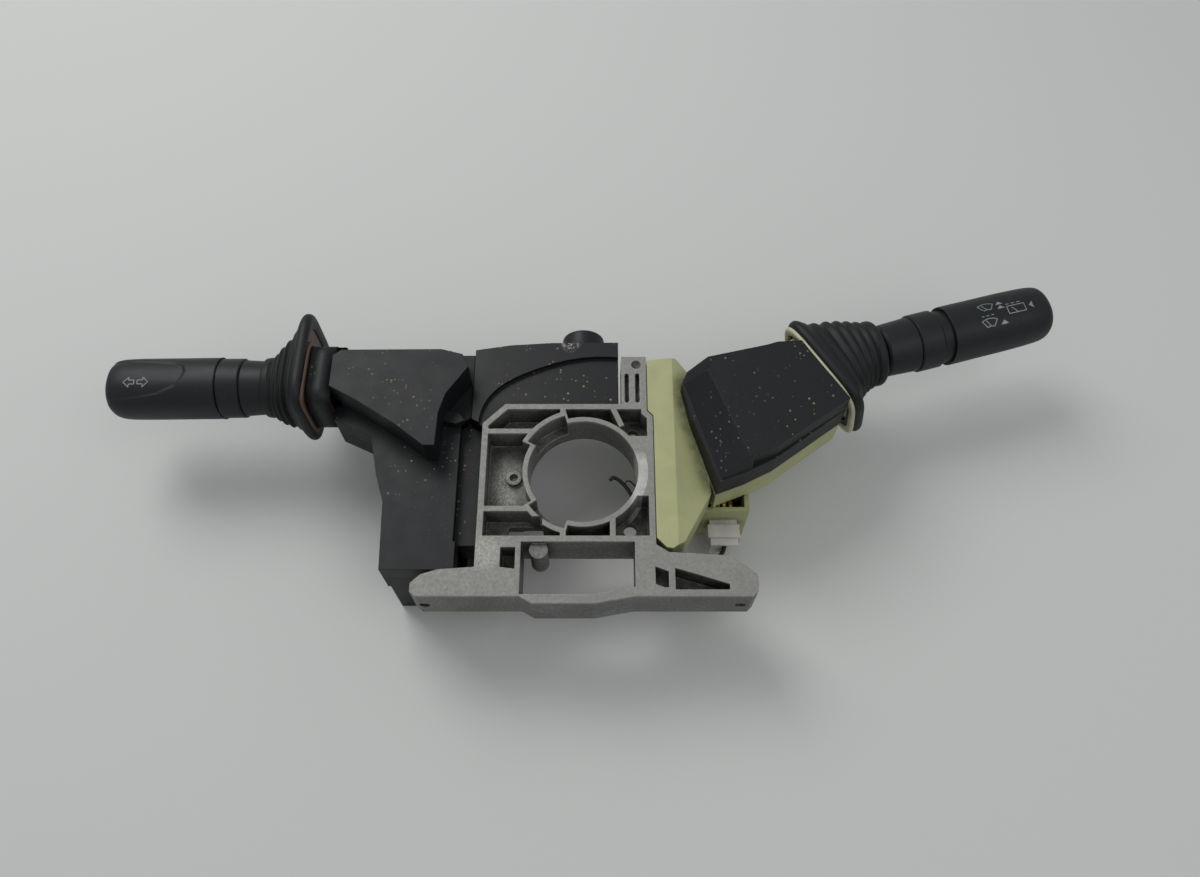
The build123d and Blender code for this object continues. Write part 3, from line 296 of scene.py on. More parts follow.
def plastic(name, colour, wornColour, **changes):
    look = {**plasticDefaults, **changes}
    material, tree, surface, places = newMaterial(name)
    cloud = tree.ramp(tree.noise(places, 70.0, 5.0, 0.6), 0.35, 0.65)
    base = tree.mix(cloud, shade(colour, 1 - look["mottle"]), colour)
    base = tree.mix(tree.use(hairlines, Amount=look["scratch"]), base, wornColour)
    base = tree.mix(tree.use(edgeWearAndHighlight, Width=0.0005, Amount=look["wear"]), base, wornColour)
    # painted shade in corners and hollows, tinted with a dirt colour
    dirtMask = tree.use(cornerShadeAndDirt, Amount=look["dirt"])
    base = tree.mix(dirtMask, base, look["dirtColour"])
    speckMask = tree.use(dustSpecks, Amount=look["specks"])
    base = tree.mix(speckMask, base, look["speckColour"])
    if look["scuff"]:
        # pale rubbed patch round one place
        centre, reach = look["scuff"]
        offset = tree.node("ShaderNodeVectorMath", operation="DISTANCE")
        tree.put(offset.inputs[0], places)
        offset.inputs[1].default_value = centre
        near = tree.ramp(offset.outputs["Value"], reach, reach * 0.3)
        rubAndHighlight = tree.math("MULTIPLY", near, tree.ramp(tree.noise(places, 500.0, 5.0, 0.75), 0.48, 0.56))
        base = tree.mix(rubAndHighlight, base, (0.5, 0.49, 0.46, 1))
    tree.put(surface["Base Color"], base)
    uneven = tree.ramp(tree.noise(places, 130.0, 4.0), 0.3, 0.7, look["roughness"] - 0.02, look["roughness"] + 0.03)
    dull = tree.math("MULTIPLY", tree.math("ADD", speckMask, dirtMask), 0.3)
    tree.put(surface["Roughness"], tree.math("ADD", uneven, dull, clamp=True))
    surface["Specular IOR Level"].default_value = look["specular"]
    tree.put(surface["Normal"], tree.use(mouldedGrain, Scale=2600.0, Strength=look["grain"]))
    return material


buttonBase = (-0.006, 0.0600, 0.0130)
paleShadeAndDirt = (0.16, 0.14, 0.09, 1)
darkShadeAndDirt = (0.05, 0.045, 0.03, 1)
coverPlastic = plastic(
    "coverPlastic", (0.0062, 0.0070, 0.0082, 1), (0.03, 0.031, 0.033, 1), roughness=0.5, specks=0.7,
    wear=0.3,
)
panelPlastic = plastic(
    "panelPlastic", (0.0052, 0.0058, 0.0068, 1), (0.03, 0.03, 0.031, 1), roughness=0.44, specks=1.0,
    scuff=(buttonBase, 0.006)
)
stalkPlastic = plastic(
    "stalkPlastic", (0.0082, 0.0100, 0.0125, 1), (0.03, 0.034, 0.037, 1), roughness=0.47, specks=0.05,
    wear=0.12, grain=0.07, dirt=0.2
)
basePlastic = plastic(
    "basePlastic", (0.0065, 0.0068, 0.0074, 1), (0.03, 0.03, 0.03, 1), roughness=0.55, specks=0.5,
    scratch=0.3,
)
yellowNylon = plastic(
    "yellowNylon", (0.39, 0.40, 0.205, 1), (0.48, 0.48, 0.3, 1), roughness=0.5, specks=0.15, dirt=0.6,
    dirtColour=darkShadeAndDirt, mottle=0.1
)
creamNylon = plastic(
    "creamNylon", (0.50, 0.50, 0.34, 1), (0.55, 0.53, 0.42, 1), roughness=0.5, specks=0.1, dirt=0.7,
    dirtColour=darkShadeAndDirt, mottle=0.2
)
brownNylon = plastic(
    "brownNylon", (0.088, 0.054, 0.033, 1), (0.22, 0.16, 0.11, 1), roughness=0.5, specks=0.1, wear=0.5,
    dirt=0.5, mottle=0.2
)
whitePlastic = plastic(
    "whitePlastic", (0.60, 0.59, 0.54, 1), (0.66, 0.65, 0.6, 1), roughness=0.45, specks=0.05, dirt=0.7,
    dirtColour=paleShadeAndDirt, grain=0.04
)
acetal = plastic(
    "acetal", (0.55, 0.53, 0.44, 1), (0.65, 0.63, 0.55, 1), roughness=0.4, specks=0.1, dirtColour=paleShadeAndDirt,
    grain=0.03,
)
boardBrown = plastic(
    "boardBrown", (0.16, 0.085, 0.035, 1), (0.26, 0.16, 0.09, 1), roughness=0.45, specks=0.1, grain=0.04,
)
bootRubber = plastic(
    "bootRubber", (0.0068, 0.0072, 0.0080, 1), (0.03, 0.031, 0.033, 1), roughness=0.52, specks=0.06,
    wear=0.15, grain=0.12, dirt=0.3
)
signPaint = plastic(
    "signPaint", (0.27, 0.285, 0.28, 1), (0.15, 0.15, 0.15, 1), roughness=0.55, specks=0.0, dirt=0.0,
    grain=0.05, mottle=0.4,
)
redInsulation = plastic(
    "redInsulation", (0.32, 0.03, 0.02, 1), (0.4, 0.1, 0.08, 1), roughness=0.4, specks=0.1, grain=0.02,
)
whiteInsulation = plastic(
    "whiteInsulation", (0.5, 0.48, 0.42, 1), (0.55, 0.53, 0.5, 1), roughness=0.4, specks=0.1,
    dirtColour=paleShadeAndDirt,
)
blackInsulation = plastic(
    "blackInsulation", (0.009, 0.009, 0.009, 1), (0.03, 0.03, 0.03, 1), roughness=0.4, specks=0.1,
    grain=0.02,
)


# where the casting carries a white crust: the west pocket's floor and the block under it
bloomPlaces = [((-28.0 * mm, -3.0 * mm, 4.0 * mm), 15.0 * mm), ((-37.6 * mm, -35.4 * mm, 15.0 * mm), 8.5 * mm)]


def dieCastMetal():
    # dull grey casting: fine mottled skin, thin rims painted lighter as lit top faces, painted shade with grime in
    # the pockets, painted highlights on the outer edges and the bore's east wall, white bloom on two places
    material, tree, surface, places = newMaterial("dieCast")
    fine = tree.ramp(tree.noise(places, 900.0, 6.0, 0.7), 0.3, 0.7)
    broad = tree.ramp(tree.noise(places, 60.0, 5.0, 0.62), 0.35, 0.68)
    skin = tree.mix(fine, (0.115, 0.117, 0.108, 1), (0.215, 0.217, 0.20, 1))
    skin = tree.mix(tree.math("MULTIPLY", broad, 0.45), skin, (0.085, 0.085, 0.077, 1))
    split = tree.node("ShaderNodeSeparateXYZ")
    tree.put(split.inputs[0], places)
    # painted highlight: faces near the top of the casting (z 13.8 to 15.2 mm) are made lighter
    litTopFaces = tree.math("MULTIPLY", tree.ramp(split.outputs["Z"], 13.8 * mm, 15.2 * mm), 0.45)
    skin = tree.mix(litTopFaces, skin, (0.33, 0.33, 0.305, 1))
    for centre, reach in bloomPlaces:
        offset = tree.node("ShaderNodeVectorMath", operation="DISTANCE")
        tree.put(offset.inputs[0], places)
        offset.inputs[1].default_value = centre
        near = tree.ramp(offset.outputs["Value"], reach, reach * 0.45)
        crust = tree.ramp(tree.noise(places, 1300.0, 4.0, 0.8), 0.49, 0.57)
        pits = tree.ramp(tree.noise(places, 520.0, 4.0, 0.8), 0.62, 0.68)
        bloom = tree.math("MULTIPLY", near, tree.ramp(crust, 0.0, 1.0, 0.25, 0.9))
        skin = tree.mix(bloom, skin, (0.40, 0.39, 0.355, 1))
        skin = tree.mix(tree.math("MULTIPLY", near, pits), skin, (0.03, 0.029, 0.026, 1))
    # painted shade and grime in the casting's corners and pockets
    skin = tree.mix(tree.use(cornerShadeAndDirt, Amount=0.9, Reach=0.009), skin, (0.022, 0.021, 0.018, 1))
    # painted highlight on the bore's east inner wall, in streaks
    flat = tree.node("ShaderNodeCombineXYZ")
    tree.put(flat.inputs[0], split.outputs["X"])
    tree.put(flat.inputs[1], split.outputs["Y"])
    radius = tree.node("ShaderNodeVectorMath", operation="LENGTH")
    tree.put(radius.inputs[0], flat.outputs[0])
    inside = tree.ramp(radius.outputs["Value"], 26.2 * mm, 25.9 * mm)
    eastward = tree.ramp(split.outputs["X"], 17.5 * mm, 21.5 * mm)
    below = tree.ramp(split.outputs["Y"], 9.0 * mm, 5.0 * mm)
    streaky = tree.ramp(tree.noise(places, 260.0, 5.0, 0.7), 0.3, 0.6, 0.35, 1.0)
    rubAndHighlight = tree.math("MULTIPLY", tree.math("MULTIPLY", inside, eastward), tree.math("MULTIPLY", below, streaky))
    skin = tree.mix(rubAndHighlight, skin, (0.46, 0.46, 0.43, 1))
    # painted highlight along the casting's outer edges
    skin = tree.mix(tree.use(edgeWearAndHighlight, Width=0.0006, Amount=0.8), skin, (0.44, 0.44, 0.41, 1))
    speckMask = tree.use(dustSpecks, Amount=0.35, Scale=600.0)
    skin = tree.mix(speckMask, skin, (0.30, 0.28, 0.22, 1))
    tree.put(surface["Base Color"], skin)
    surface["Metallic"].default_value = 0.35
    tree.put(surface["Roughness"], tree.ramp(fine, 0.0, 1.0, 0.68, 0.52))
    rounded = tree.node("ShaderNodeBevel", samples=6)
    rounded.inputs["Radius"].default_value = 0.6 * mm
    bump = tree.node("ShaderNodeBump")
    bump.inputs["Distance"].default_value = 0.2 * mm
    bump.inputs["Strength"].default_value = 0.35
    tree.put(bump.inputs["Height"], tree.noise(places, 900.0, 5.0, 0.7))
    tree.put(bump.inputs["Normal"], rounded.outputs["Normal"])
    tree.put(surface["Normal"], bump.outputs["Normal"])
    return material


def metal(name, colour, roughness):
    material, tree, surface, places = newMaterial(name)
    stain = tree.ramp(tree.noise(places, 300.0, 4.0), 0.4, 0.7)
    tree.put(surface["Base Color"], tree.mix(stain, colour, shade(colour, 0.5)))
    tree.put(surface["Roughness"], tree.ramp(stain, 0.0, 1.0, roughness, roughness + 0.2))
    surface["Metallic"].default_value = 1.0
    return material


dieCast = dieCastMetal()
platedSteel = metal("platedSteel", (0.5, 0.48, 0.42, 1), 0.35)
springSteel = metal("springSteel", (0.35, 0.35, 0.35, 1), 0.35)
tinnedBrass = metal("tinnedBrass", (0.6, 0.48, 0.25, 1), 0.3)

slotMaterials = {
    "die_cast": dieCast,
    "base_plastic": basePlastic,
    "cover_plastic": coverPlastic,
    "stalk_plastic": stalkPlastic,
    "steel": platedSteel,
    "spring_wire": springSteel,
    "acetal": acetal,
    "board": boardBrown,
    "terminal_bar": tinnedBrass,
    "brown_nylon": brownNylon,
    "cream_nylon": creamNylon,
    "yellow_nylon": yellowNylon,
    "boot_rubber": bootRubber,
    "white_plastic": whitePlastic,
    "red_lead": redInsulation,
    "white_lead": whiteInsulation,
    "black_lead": blackInsulation,
}
ownMaterials = {"hazard_housing": panelPlastic, "cancel_pawl": coverPlastic}
for entry in frame["record"]["subparts"]:
    target = nodes[entry["node"]]
    target.data.materials.clear()
    target.data.materials.append(ownMaterials.get(entry["node"], slotMaterials[entry["material_slot"]]))
print("materials on the nodes")


# shapes worked out as arrays
def smooth(value, low, high):
    # 3 t^2 - 2 t^3 on the share t of the way from low to high
    share = numpy.clip((value - low) / (high - low), 0.0, 1.0)
    return share * share * (3.0 - 2.0 * share)


def curveThrough(rows, steps):
    # Catmull-Rom: each span is a cubic through its two rows, with slopes from the rows beside it
    rows = numpy.asarray(rows, float)
    padded = numpy.vstack([2 * rows[0] - rows[1], rows, 2 * rows[-1] - rows[-2]])
    t = numpy.linspace(0.0, 1.0, steps, endpoint=False)[None, :, None]
    p0, p1, p2, p3 = (padded[i : len(padded) - 3 + i][:, None, :] for i in range(4))
    square = 2 * p0 - 5 * p1 + 4 * p2 - p3
    cube = 3 * p1 - p0 - 3 * p2 + p3
    spans = 0.5 * (2 * p1 + (p2 - p0) * t + square * t**2 + cube * t**3)
    return numpy.vstack([spans.reshape(-1, rows.shape[1]), rows[-1:]])


def superRing(count, power):
    # unit superellipse |x|^p + |y|^p = 1, one row per power
    angle = numpy.linspace(0.0, 2 * pi, count, endpoint=False)[None, :]
    share = 2.0 / numpy.asarray(power, float)[:, None]
    return (
        numpy.sign(numpy.cos(angle)) * numpy.abs(numpy.cos(angle)) ** share,
        numpy.sign(numpy.sin(angle)) * numpy.abs(numpy.sin(angle)) ** share,
    )


def addMesh(name, points, faces, material, smoothed=True):
    mesh = bpy.data.meshes.new(name)
    mesh.from_pydata((numpy.asarray(points) * mm).tolist(), [], [list(face) for face in faces])
    mesh.polygons.foreach_set("use_smooth", [smoothed] * len(mesh.polygons))
    mesh.materials.append(material)
    mesh.update()
    made = bpy.data.objects.new(name, mesh)
    scene.collection.objects.link(made)
    return made


def ringGrid(grid, outward, closeRows=False):
    # quads between neighbouring rings; outward points away from the axis
    rows, count = grid.shape[:2]
    last = rows if closeRows else rows - 1
    i, j = numpy.meshgrid(numpy.arange(last), numpy.arange(count), indexing="ij")
    nextRow, nextColumn = (i + 1) % rows, (j + 1) % count
    corners = [i * count + j, nextRow * count + j, nextRow * count + nextColumn, i * count + nextColumn]
    faces = numpy.stack(corners, -1)
    faces = faces.reshape(-1, 4)
    return faces if outward else faces[:, ::-1]


def turnedRight(grid, faces):
    # turns the faces over if the signed volume comes out negative
    flat = grid.reshape(-1, 3)
    corners = flat[faces]
    volume = numpy.einsum("ij,ij->i", corners[:, 0], numpy.cross(corners[:, 1], corners[:, 2])).sum()
    volume += numpy.einsum("ij,ij->i", corners[:, 0], numpy.cross(corners[:, 2], corners[:, 3])).sum()
    return faces if volume > 0 else faces[:, ::-1]


def stalkAxis(pivot, angle):
    # out along the stalk, side square to it on the level, up
    return {
        "origin": numpy.array([pivot[0], pivot[1], 12.0]),
        "out": numpy.array([cos(radians(angle)), sin(radians(angle)), 0.0]),
        "side": numpy.array([-sin(radians(angle)), cos(radians(angle)), 0.0]),
        "up": numpy.array([0.0, 0.0, 1.0]),
    }


leftAxis = stalkAxis((-80.0, 41.0), 180.8)
rightAxis = stalkAxis((71.5, 42.8), 15.5)

# rubber boots: lip round the plate, folds, sleeve at the neck
leftBoot = {
    "face": ((-115.0, 47.1, 9.0), (-1.0, 0.0, 0.0), (0.0, 1.0, 0.0), (0.0, 0.0, 1.0)),
    "axis": leftAxis,
    "axisStart": 35.0,
    # outward, half width, half height, power, share of the way to the stalk's axis
    "root": [
        (0.1, 18.9, 16.3, 4.6, 0.27), (-0.5, 19.1, 16.5, 4.6, 0.27), (-0.9, 20.2, 17.6, 4.6, 0.18),
        (-0.9, 21.8, 19.2, 4.6, 0.08),
        (-0.2, 23.0, 20.5, 4.6, 0.0), (1.2, 23.5, 21.0, 4.6, 0.0), (2.8, 23.2, 20.7, 4.5, 0.0),
        (4.1, 21.8, 19.3, 4.2, 0.08),
        (4.7, 20.2, 18.0, 3.8, 0.2), (6.1, 18.9, 17.0, 3.4, 0.35), (6.7, 17.2, 15.6, 3.1, 0.45),
        (7.4, 16.9, 15.5, 3.0, 0.55),
        (8.5, 17.3, 15.9, 2.9, 0.66), (9.1, 16.3, 15.1, 2.7, 0.74),
    ],
    "outer": [
        (9.1, 16.3, 15.1, 2.7, 0.74), (9.6, 15.3, 14.5, 2.6, 0.8), (10.8, 15.8, 15.0, 2.5, 0.86),
        (11.4, 14.9, 14.3, 2.3, 0.9),
        (11.9, 13.9, 13.5, 2.2, 0.94), (13.0, 14.2, 13.8, 2.1, 0.97), (13.6, 13.2, 12.9, 2.0, 1.0),
        (14.2, 12.3, 12.2, 2.0, 1.0),
        (15.4, 12.7, 12.7, 2.0, 1.0), (17.4, 12.5, 12.5, 2.0, 1.0), (18.0, 12.1, 12.1, 2.0, 1.0),
        (18.0, 11.4, 11.4, 2.0, 1.0),
    ],
    "join": 9.1,
    "bodies": ("left_cradle", "left_stalk"),
    "nodes": ("left_boot", "left_boot_cuff"),
}
rightBoot = {
    "face": ((101.6, 46.1, 9.9), (0.828, 0.513, 0.225), (-0.527, 0.85, 0.0), (-0.191, -0.119, 0.974)),
    "axis": rightAxis,
    "axisStart": 28.1,
    "root": [
        (0.1, 19.0, 16.3, 4.6, 0.15), (-0.5, 19.4, 16.7, 4.6, 0.15), (-0.9, 20.8, 18.0, 4.6, 0.08),
        (-0.9, 22.8, 19.8, 4.6, 0.0),
        (-0.2, 24.0, 21.0, 4.6, 0.0), (1.2, 24.5, 21.5, 4.6, 0.0), (2.8, 24.2, 21.2, 4.5, 0.0),
        (4.4, 22.4, 19.6, 4.0, 0.06),
        (5.4, 20.6, 18.4, 3.6, 0.14), (7.4, 20.0, 18.0, 3.3, 0.24), (8.4, 18.4, 16.8, 3.1, 0.32),
        (9.0, 18.0, 16.5, 3.0, 0.36),
        (11.0, 18.4, 17.0, 2.9, 0.44), (12.0, 17.2, 16.0, 2.8, 0.5),
    ],
    "outer": [
        (12.0, 17.2, 16.0, 2.8, 0.5), (12.6, 16.6, 15.5, 2.7, 0.54), (14.6, 17.0, 16.0, 2.6, 0.62),
        (15.6, 15.8, 15.0, 2.5, 0.67),
        (16.2, 15.3, 14.6, 2.4, 0.7), (18.2, 15.8, 15.2, 2.3, 0.78), (19.2, 14.6, 14.2, 2.2, 0.84),
        (19.8, 14.1, 13.8, 2.2, 0.87),
        (21.6, 14.8, 14.6, 2.1, 0.93), (22.6, 13.9, 13.8, 2.0, 0.97), (23.2, 13.3, 13.3, 2.0, 0.98),
        (24.2, 14.0, 14.0, 2.0, 1.0),
        (26.2, 14.2, 14.2, 2.0, 1.0), (27.4, 13.4, 13.4, 2.0, 1.0), (27.8, 12.0, 12.0, 2.0, 1.0),
        (28.0, 11.2, 11.2, 2.0, 1.0),
    ],
    "join": 12.0,
    "bodies": ("right_cradle", "right_stalk"),
    "nodes": ("right_boot", "right_boot_cuff"),
}


def bootPlace(boot, outward, share):
    # the ring's centre and axes slide from the plate's to the stalk's as share goes from 0 to 1
    faceOrigin, faceOut, faceAlong, faceUp = (numpy.array(value) for value in boot["face"])
    axis = boot["axis"]
    side = axis["side"] * (1.0 if axis["side"] @ faceAlong > 0 else -1.0)
    share = numpy.asarray(share, float)[:, None]
    onFace = faceOrigin + numpy.asarray(outward, float)[:, None] * faceOut
    onAxis = axis["origin"] + (boot["axisStart"] + numpy.asarray(outward, float))[:, None] * axis["out"]
    return (
        (1 - share) * onFace + share * onAxis,
        (1 - share) * faceAlong + share * side,
        (1 - share) * faceUp + share * axis["up"],
    )


def makeBoot(name, boot, part, nodeName):
    # each row is a superellipse of its own half sizes and power, on its own centre and axes
    rows = curveThrough(boot[part], 5)
    centre, along, up = bootPlace(boot, rows[:, 0], numpy.clip(rows[:, 4], 0, 1))
    across, tall = superRing(96, rows[:, 3])
    wide = (rows[:, 1:2] * across)[..., None] * along[:, None]
    high = (rows[:, 2:3] * tall)[..., None] * up[:, None]
    grid = centre[:, None] + wide + high
    made = addMesh(name, grid.reshape(-1, 3), turnedRight(grid, ringGrid(grid, True)), bootRubber)
    wall = made.modifiers.new("wall", "SOLIDIFY")
    wall.thickness = 0.7 * mm
    wall.offset = -1.0
    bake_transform(made)
    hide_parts(nodeName)
    return made


for side, boot in (("left", leftBoot), ("right", rightBoot)):
    makeBoot(side + "BootRoot", boot, "root", boot["nodes"][0])
    makeBoot(side + "BootEnd", boot, "outer", boot["nodes"][1])
print("boots")


# collar plates, drawn in to the size of the boots' lips
def makeCollar(name, node, boot, halfSize, newHalf, shift, throat, material):
    # corners of the throat close in on its middle; the plate's shrink to the new half size
    faceOrigin, faceOut, faceAlong, faceUp = (numpy.array(value) for value in boot["face"])
    source = nodes[node].data
    flat = numpy.empty(len(source.vertices) * 3)
    source.vertices.foreach_get("co", flat)
    points = flat.reshape(-1, 3) / mm
    offset = points - numpy.array(shift["origin"])
    along, up = offset @ faceAlong, offset @ faceUp
    inThroat = (numpy.abs(along - shift["middle"][0]) < 15.7) & (numpy.abs(up - shift["middle"][1]) < 13.7)
    moveAlong = numpy.where(
        inThroat,
        (along - shift["middle"][0]) * (throat - 1.0),
        along * (newHalf[0] / halfSize[0] - 1.0) + shift["move"],
    )
    moveUp = numpy.where(inThroat, 0.0, up * (newHalf[1] / halfSize[1] - 1.0))
    points = points + moveAlong[:, None] * faceAlong + moveUp[:, None] * faceUp
    faces = [tuple(polygon.vertices) for polygon in source.polygons]
    made = addMesh(name, points, faces, material, smoothed=False)
    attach(made, "root")
    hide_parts(node)
    return made


makeCollar(
    "leftCollarPlate", "left_collar", leftBoot, (25.0, 21.5), (20.5, 18.0),
    {"origin": (-115.0, 46.0, 9.0), "middle": (-5.5, 3.0), "move": 1.1}, 27.0 / 31.0, brownNylon,
)
makeCollar(
    "rightCollarPlate", "right_collar", rightBoot, (24.2, 21.0), (21.5, 18.5),
    {"origin": (101.6, 46.1, 9.9), "middle": (4.6, 2.2), "move": 0.0}, 27.0 / 31.0, creamNylon,
)

# black nose of the left case round the throat, with the collar's brown bead behind it
leftNose = {
    "middle": (40.5, 12.0),
    "from": -102.8,
    "to": -114.9,
    "half": 13.9,
    "wall": 0.3,
    "bead": 1.9,
    "power": 5.0,
}


def makeSleeve(name, rows, power, middle, material):
    # closed profile (x, half size) carried round a superellipse
    rows = numpy.array(rows, float)
    across, tall = superRing(112, numpy.full(len(rows), power))
    grid = numpy.stack(
        [
            numpy.broadcast_to(rows[:, :1], across.shape),
            middle[0] + rows[:, 1:2] * across,
            middle[1] + rows[:, 1:2] * tall,
        ],
        -1,
    )
    made = addMesh(name, grid.reshape(-1, 3), turnedRight(grid, ringGrid(grid, True, True)), material)
    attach(made, "root")
    return made


makeSleeve(
    "leftNoseSleeve",
    [
        (leftNose["from"], leftNose["half"] + leftNose["wall"]),
        (leftNose["to"] + 2.0, leftNose["half"] + leftNose["wall"]),
        (leftNose["to"] + 2.0, leftNose["half"]),
        (leftNose["from"], leftNose["half"]),
    ],
    leftNose["power"], leftNose["middle"], coverPlastic,
)
makeSleeve(
    "leftNoseBead",
    [
        (leftNose["to"] + 1.9, leftNose["half"]),
        (leftNose["to"] + 1.9, leftNose["half"] + leftNose["bead"] - 0.4),
        (leftNose["to"] + 1.5, leftNose["half"] + leftNose["bead"]),
        (leftNose["to"] + 0.4, leftNose["half"] + leftNose["bead"]),
        (leftNose["to"] + 0.05, leftNose["half"] + leftNose["bead"] - 0.4),
        (leftNose["to"] + 0.05, leftNose["half"]),
    ],
    leftNose["power"], leftNose["middle"], brownNylon,
)


def makeRim(name, boot, rows, power, material):
    # closed profile (outward, half width, half height) carried round the plate's outline
    faceOrigin, faceOut, faceAlong, faceUp = (numpy.array(value) for value in boot["face"])
    rows = numpy.array(rows, float)
    across, tall = superRing(144, numpy.full(len(rows), power))
    grid = (
        faceOrigin
        + rows[:, :1, None] * faceOut
        + (rows[:, 1:2] * across)[..., None] * faceAlong
        + (rows[:, 2:3] * tall)[..., None] * faceUp
    )
    made = addMesh(name, grid.reshape(-1, 3), turnedRight(grid, ringGrid(grid, True, True)), material)
    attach(made, "root")
    return made


makeRim(
    "rightCreamRim", rightBoot,
    [
        (-0.8, 20.5, 17.5), (-2.2, 20.5, 17.5), (-2.6, 21.0, 18.0), (-2.7, 22.6, 20.1), (-2.4, 23.2, 20.8),
        (-1.9, 23.5, 21.1), (-1.2, 23.5, 21.1), (-0.8, 23.0, 20.6),
    ],
    4.6, creamNylon,
)
print("collars and nose")

# bent spring wires behind the bore: a hooked one and a thin loop, which both go under the casting's ring
boreWires = {
    "hookedWire": (0.8, [
        (11.1, 3.5, -1.5), (11.6, 4.4, -1.4), (12.7, 4.8, -1.4), (15.1, 3.3, -1.5), (17.4, 0.9, -1.8),
        (19.6, -2.3, -2.2), (21.3, -5.6, -3.0)]),
    "loopWire": (0.34, [
        (18.9, -1.9, -2.2), (17.6, 0.6, -1.6), (17.3, 2.1, -1.5), (18.1, 3.1, -1.4), (19.5, 3.0, -1.4),
        (21.8, 0.8, -2.0), (24.3, -1.6, -2.8)]),
}


def makeTube(name, path, radius, material):
    # circle carried along a curve through the points, on axes square to its direction
    line = curveThrough(path, 10)
    along = numpy.gradient(line, axis=0)
    along /= numpy.linalg.norm(along, axis=1)[:, None]
    first = numpy.cross(along, (0.0, 0.0, 1.0))
    first /= numpy.linalg.norm(first, axis=1)[:, None]
    second = numpy.cross(first, along)
    angle = numpy.linspace(0.0, 2 * pi, 16, endpoint=False)[None, :, None]
    grid = line[:, None] + radius * (numpy.cos(angle) * first[:, None] + numpy.sin(angle) * second[:, None])
    closed = numpy.concatenate([numpy.repeat(line[:1, None], 16, 1), grid, numpy.repeat(line[-1:, None], 16, 1)])
    made = addMesh(name, closed.reshape(-1, 3), turnedRight(closed, ringGrid(closed, True)), material)
    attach(made, "root")
    return made


for name, (radius, path) in boreWires.items():
    makeTube(name, path, radius, blackInsulation)
print("rim and wire")

# grips: slightly squared sections, the left one with a shallow thumb recess
leftGrip = {
    "axis": leftAxis,
    "power": 2.25,
    "lift": 1.0,
    "rows": [
        (72.0, 6.0), (72.0, 12.0), (72.5, 12.5), (84.0, 12.5), (98.0, 12.5), (108.0, 12.4), (113.0, 12.0),
        (116.0, 11.0), (117.5, 9.3), (118.1, 7.0), (118.2, 3.5), (118.2, 0.02),
    ],
    "recess": 0.7,
}
rightGrip = {
    "axis": rightAxis,
    "power": 2.2,
    "lift": 1.0,
    "rows": [
        (87.4, 11.45), (87.4, 12.1), (87.9, 12.5), (100.0, 12.45), (114.0, 12.4), (125.0, 12.1),
        (130.5, 11.5),
        (132.8, 10.3), (134.0, 8.4), (134.35, 6.0), (134.4, 3.0), (134.4, 0.02),
    ],
    "recess": 0.0,
}


def thumbMask(u, v):
    # 1 inside the recess: between its south and north edge lines, softened over their border
    south = numpy.interp(u, [84.1, 85.1, 87.7, 95.0, 102.9, 110.9], [-1.8, 2.0, 5.8, 8.7, 9.7, 10.3])
    north = numpy.interp(u, [84.1, 85.7, 89.3, 100.0, 112.0], [-1.8, -5.3, -6.9, -8.0, -9.0])
    return smooth(numpy.minimum(south - v, v - north), 0.0, 1.6)


def makeGrip(name, grip, body, nodeName):
    # superellipses of one power along the stalk, less the thumb recess on their upper side
    rows = curveThrough(grip["rows"], 24)
    rows[:, 1] = numpy.maximum(rows[:, 1], 0.01)
    across, tall = superRing(224, numpy.full(len(rows), grip["power"]))
    v, z = rows[:, 1:2] * across, rows[:, 1:2] * tall
    if grip["recess"]:
        top = smooth(z, 2.0, 6.0)
        z = z - grip["recess"] * thumbMask(numpy.broadcast_to(rows[:, :1], v.shape), v) * top
    axis = grip["axis"]
    away = rows[:, :1][..., None] * axis["out"]
    grid = axis["origin"] + away + v[..., None] * axis["side"] + z[..., None] * axis["up"]
    made = addMesh(name, grid.reshape(-1, 3), turnedRight(grid, ringGrid(grid, True)), stalkPlastic)
    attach(made, body)
    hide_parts(nodeName)
    return made


makeGrip("leftGripShell", leftGrip, "left_stalk", "left_grip")
makeGrip("rightGripShell", rightGrip, "right_grip", "right_grip")
print("grips")


def gripHeight(grip, u, v):
    # height of the grip's upper side over the stalk's axis at (u, v)
    rows = numpy.array(grip["rows"][2:])
    radius = numpy.interp(u, rows[:, 0], rows[:, 1])
    power = grip["power"]
    height = radius * numpy.maximum(1 - numpy.abs(v / radius) ** power, 0.0) ** (1 / power)
    if grip["recess"]:
        height = height - grip["recess"] * thumbMask(u, v) * smooth(height, 2.0, 6.0)
    return height


# signs: thin printed strokes that lie on the grip
signLook = {"width": 0.34, "lift": 0.09, "step": 0.3}


def outlineArrow(u, v, length, tall):
    # shaft from u, head from halfway to u + length; a negative length points the other way
    tail, neck, tip, half, shaft = u, u + length * 0.5, u + length, tall / 2, tall / 5
    return [
        (tail, v - shaft), (neck, v - shaft), (neck, v - half), (tip, v),
        (neck, v + half), (neck, v + shaft), (tail, v + shaft), (tail, v - shaft),
    ]


def fanOutline(left, right, low, high):
    # wide arc above, narrow arc below, joined at the sides
    share = numpy.linspace(0.0, 1.0, 9)
    rise = 4 * share * (1 - share)
    upper = [(left + (right - left) * t, high - 0.9 + 0.9 * r) for t, r in zip(share, rise)]
    inset = (right - left) * 0.28
    lower = [(right - inset - (right - left - 2 * inset) * t, low + 0.35 * r) for t, r in zip(share, rise)]
    return upper + lower + upper[:1]


def boxOutline(left, right, low, high):
    return [(left, low), (right, low), (right, high), (left, high), (left, low)]


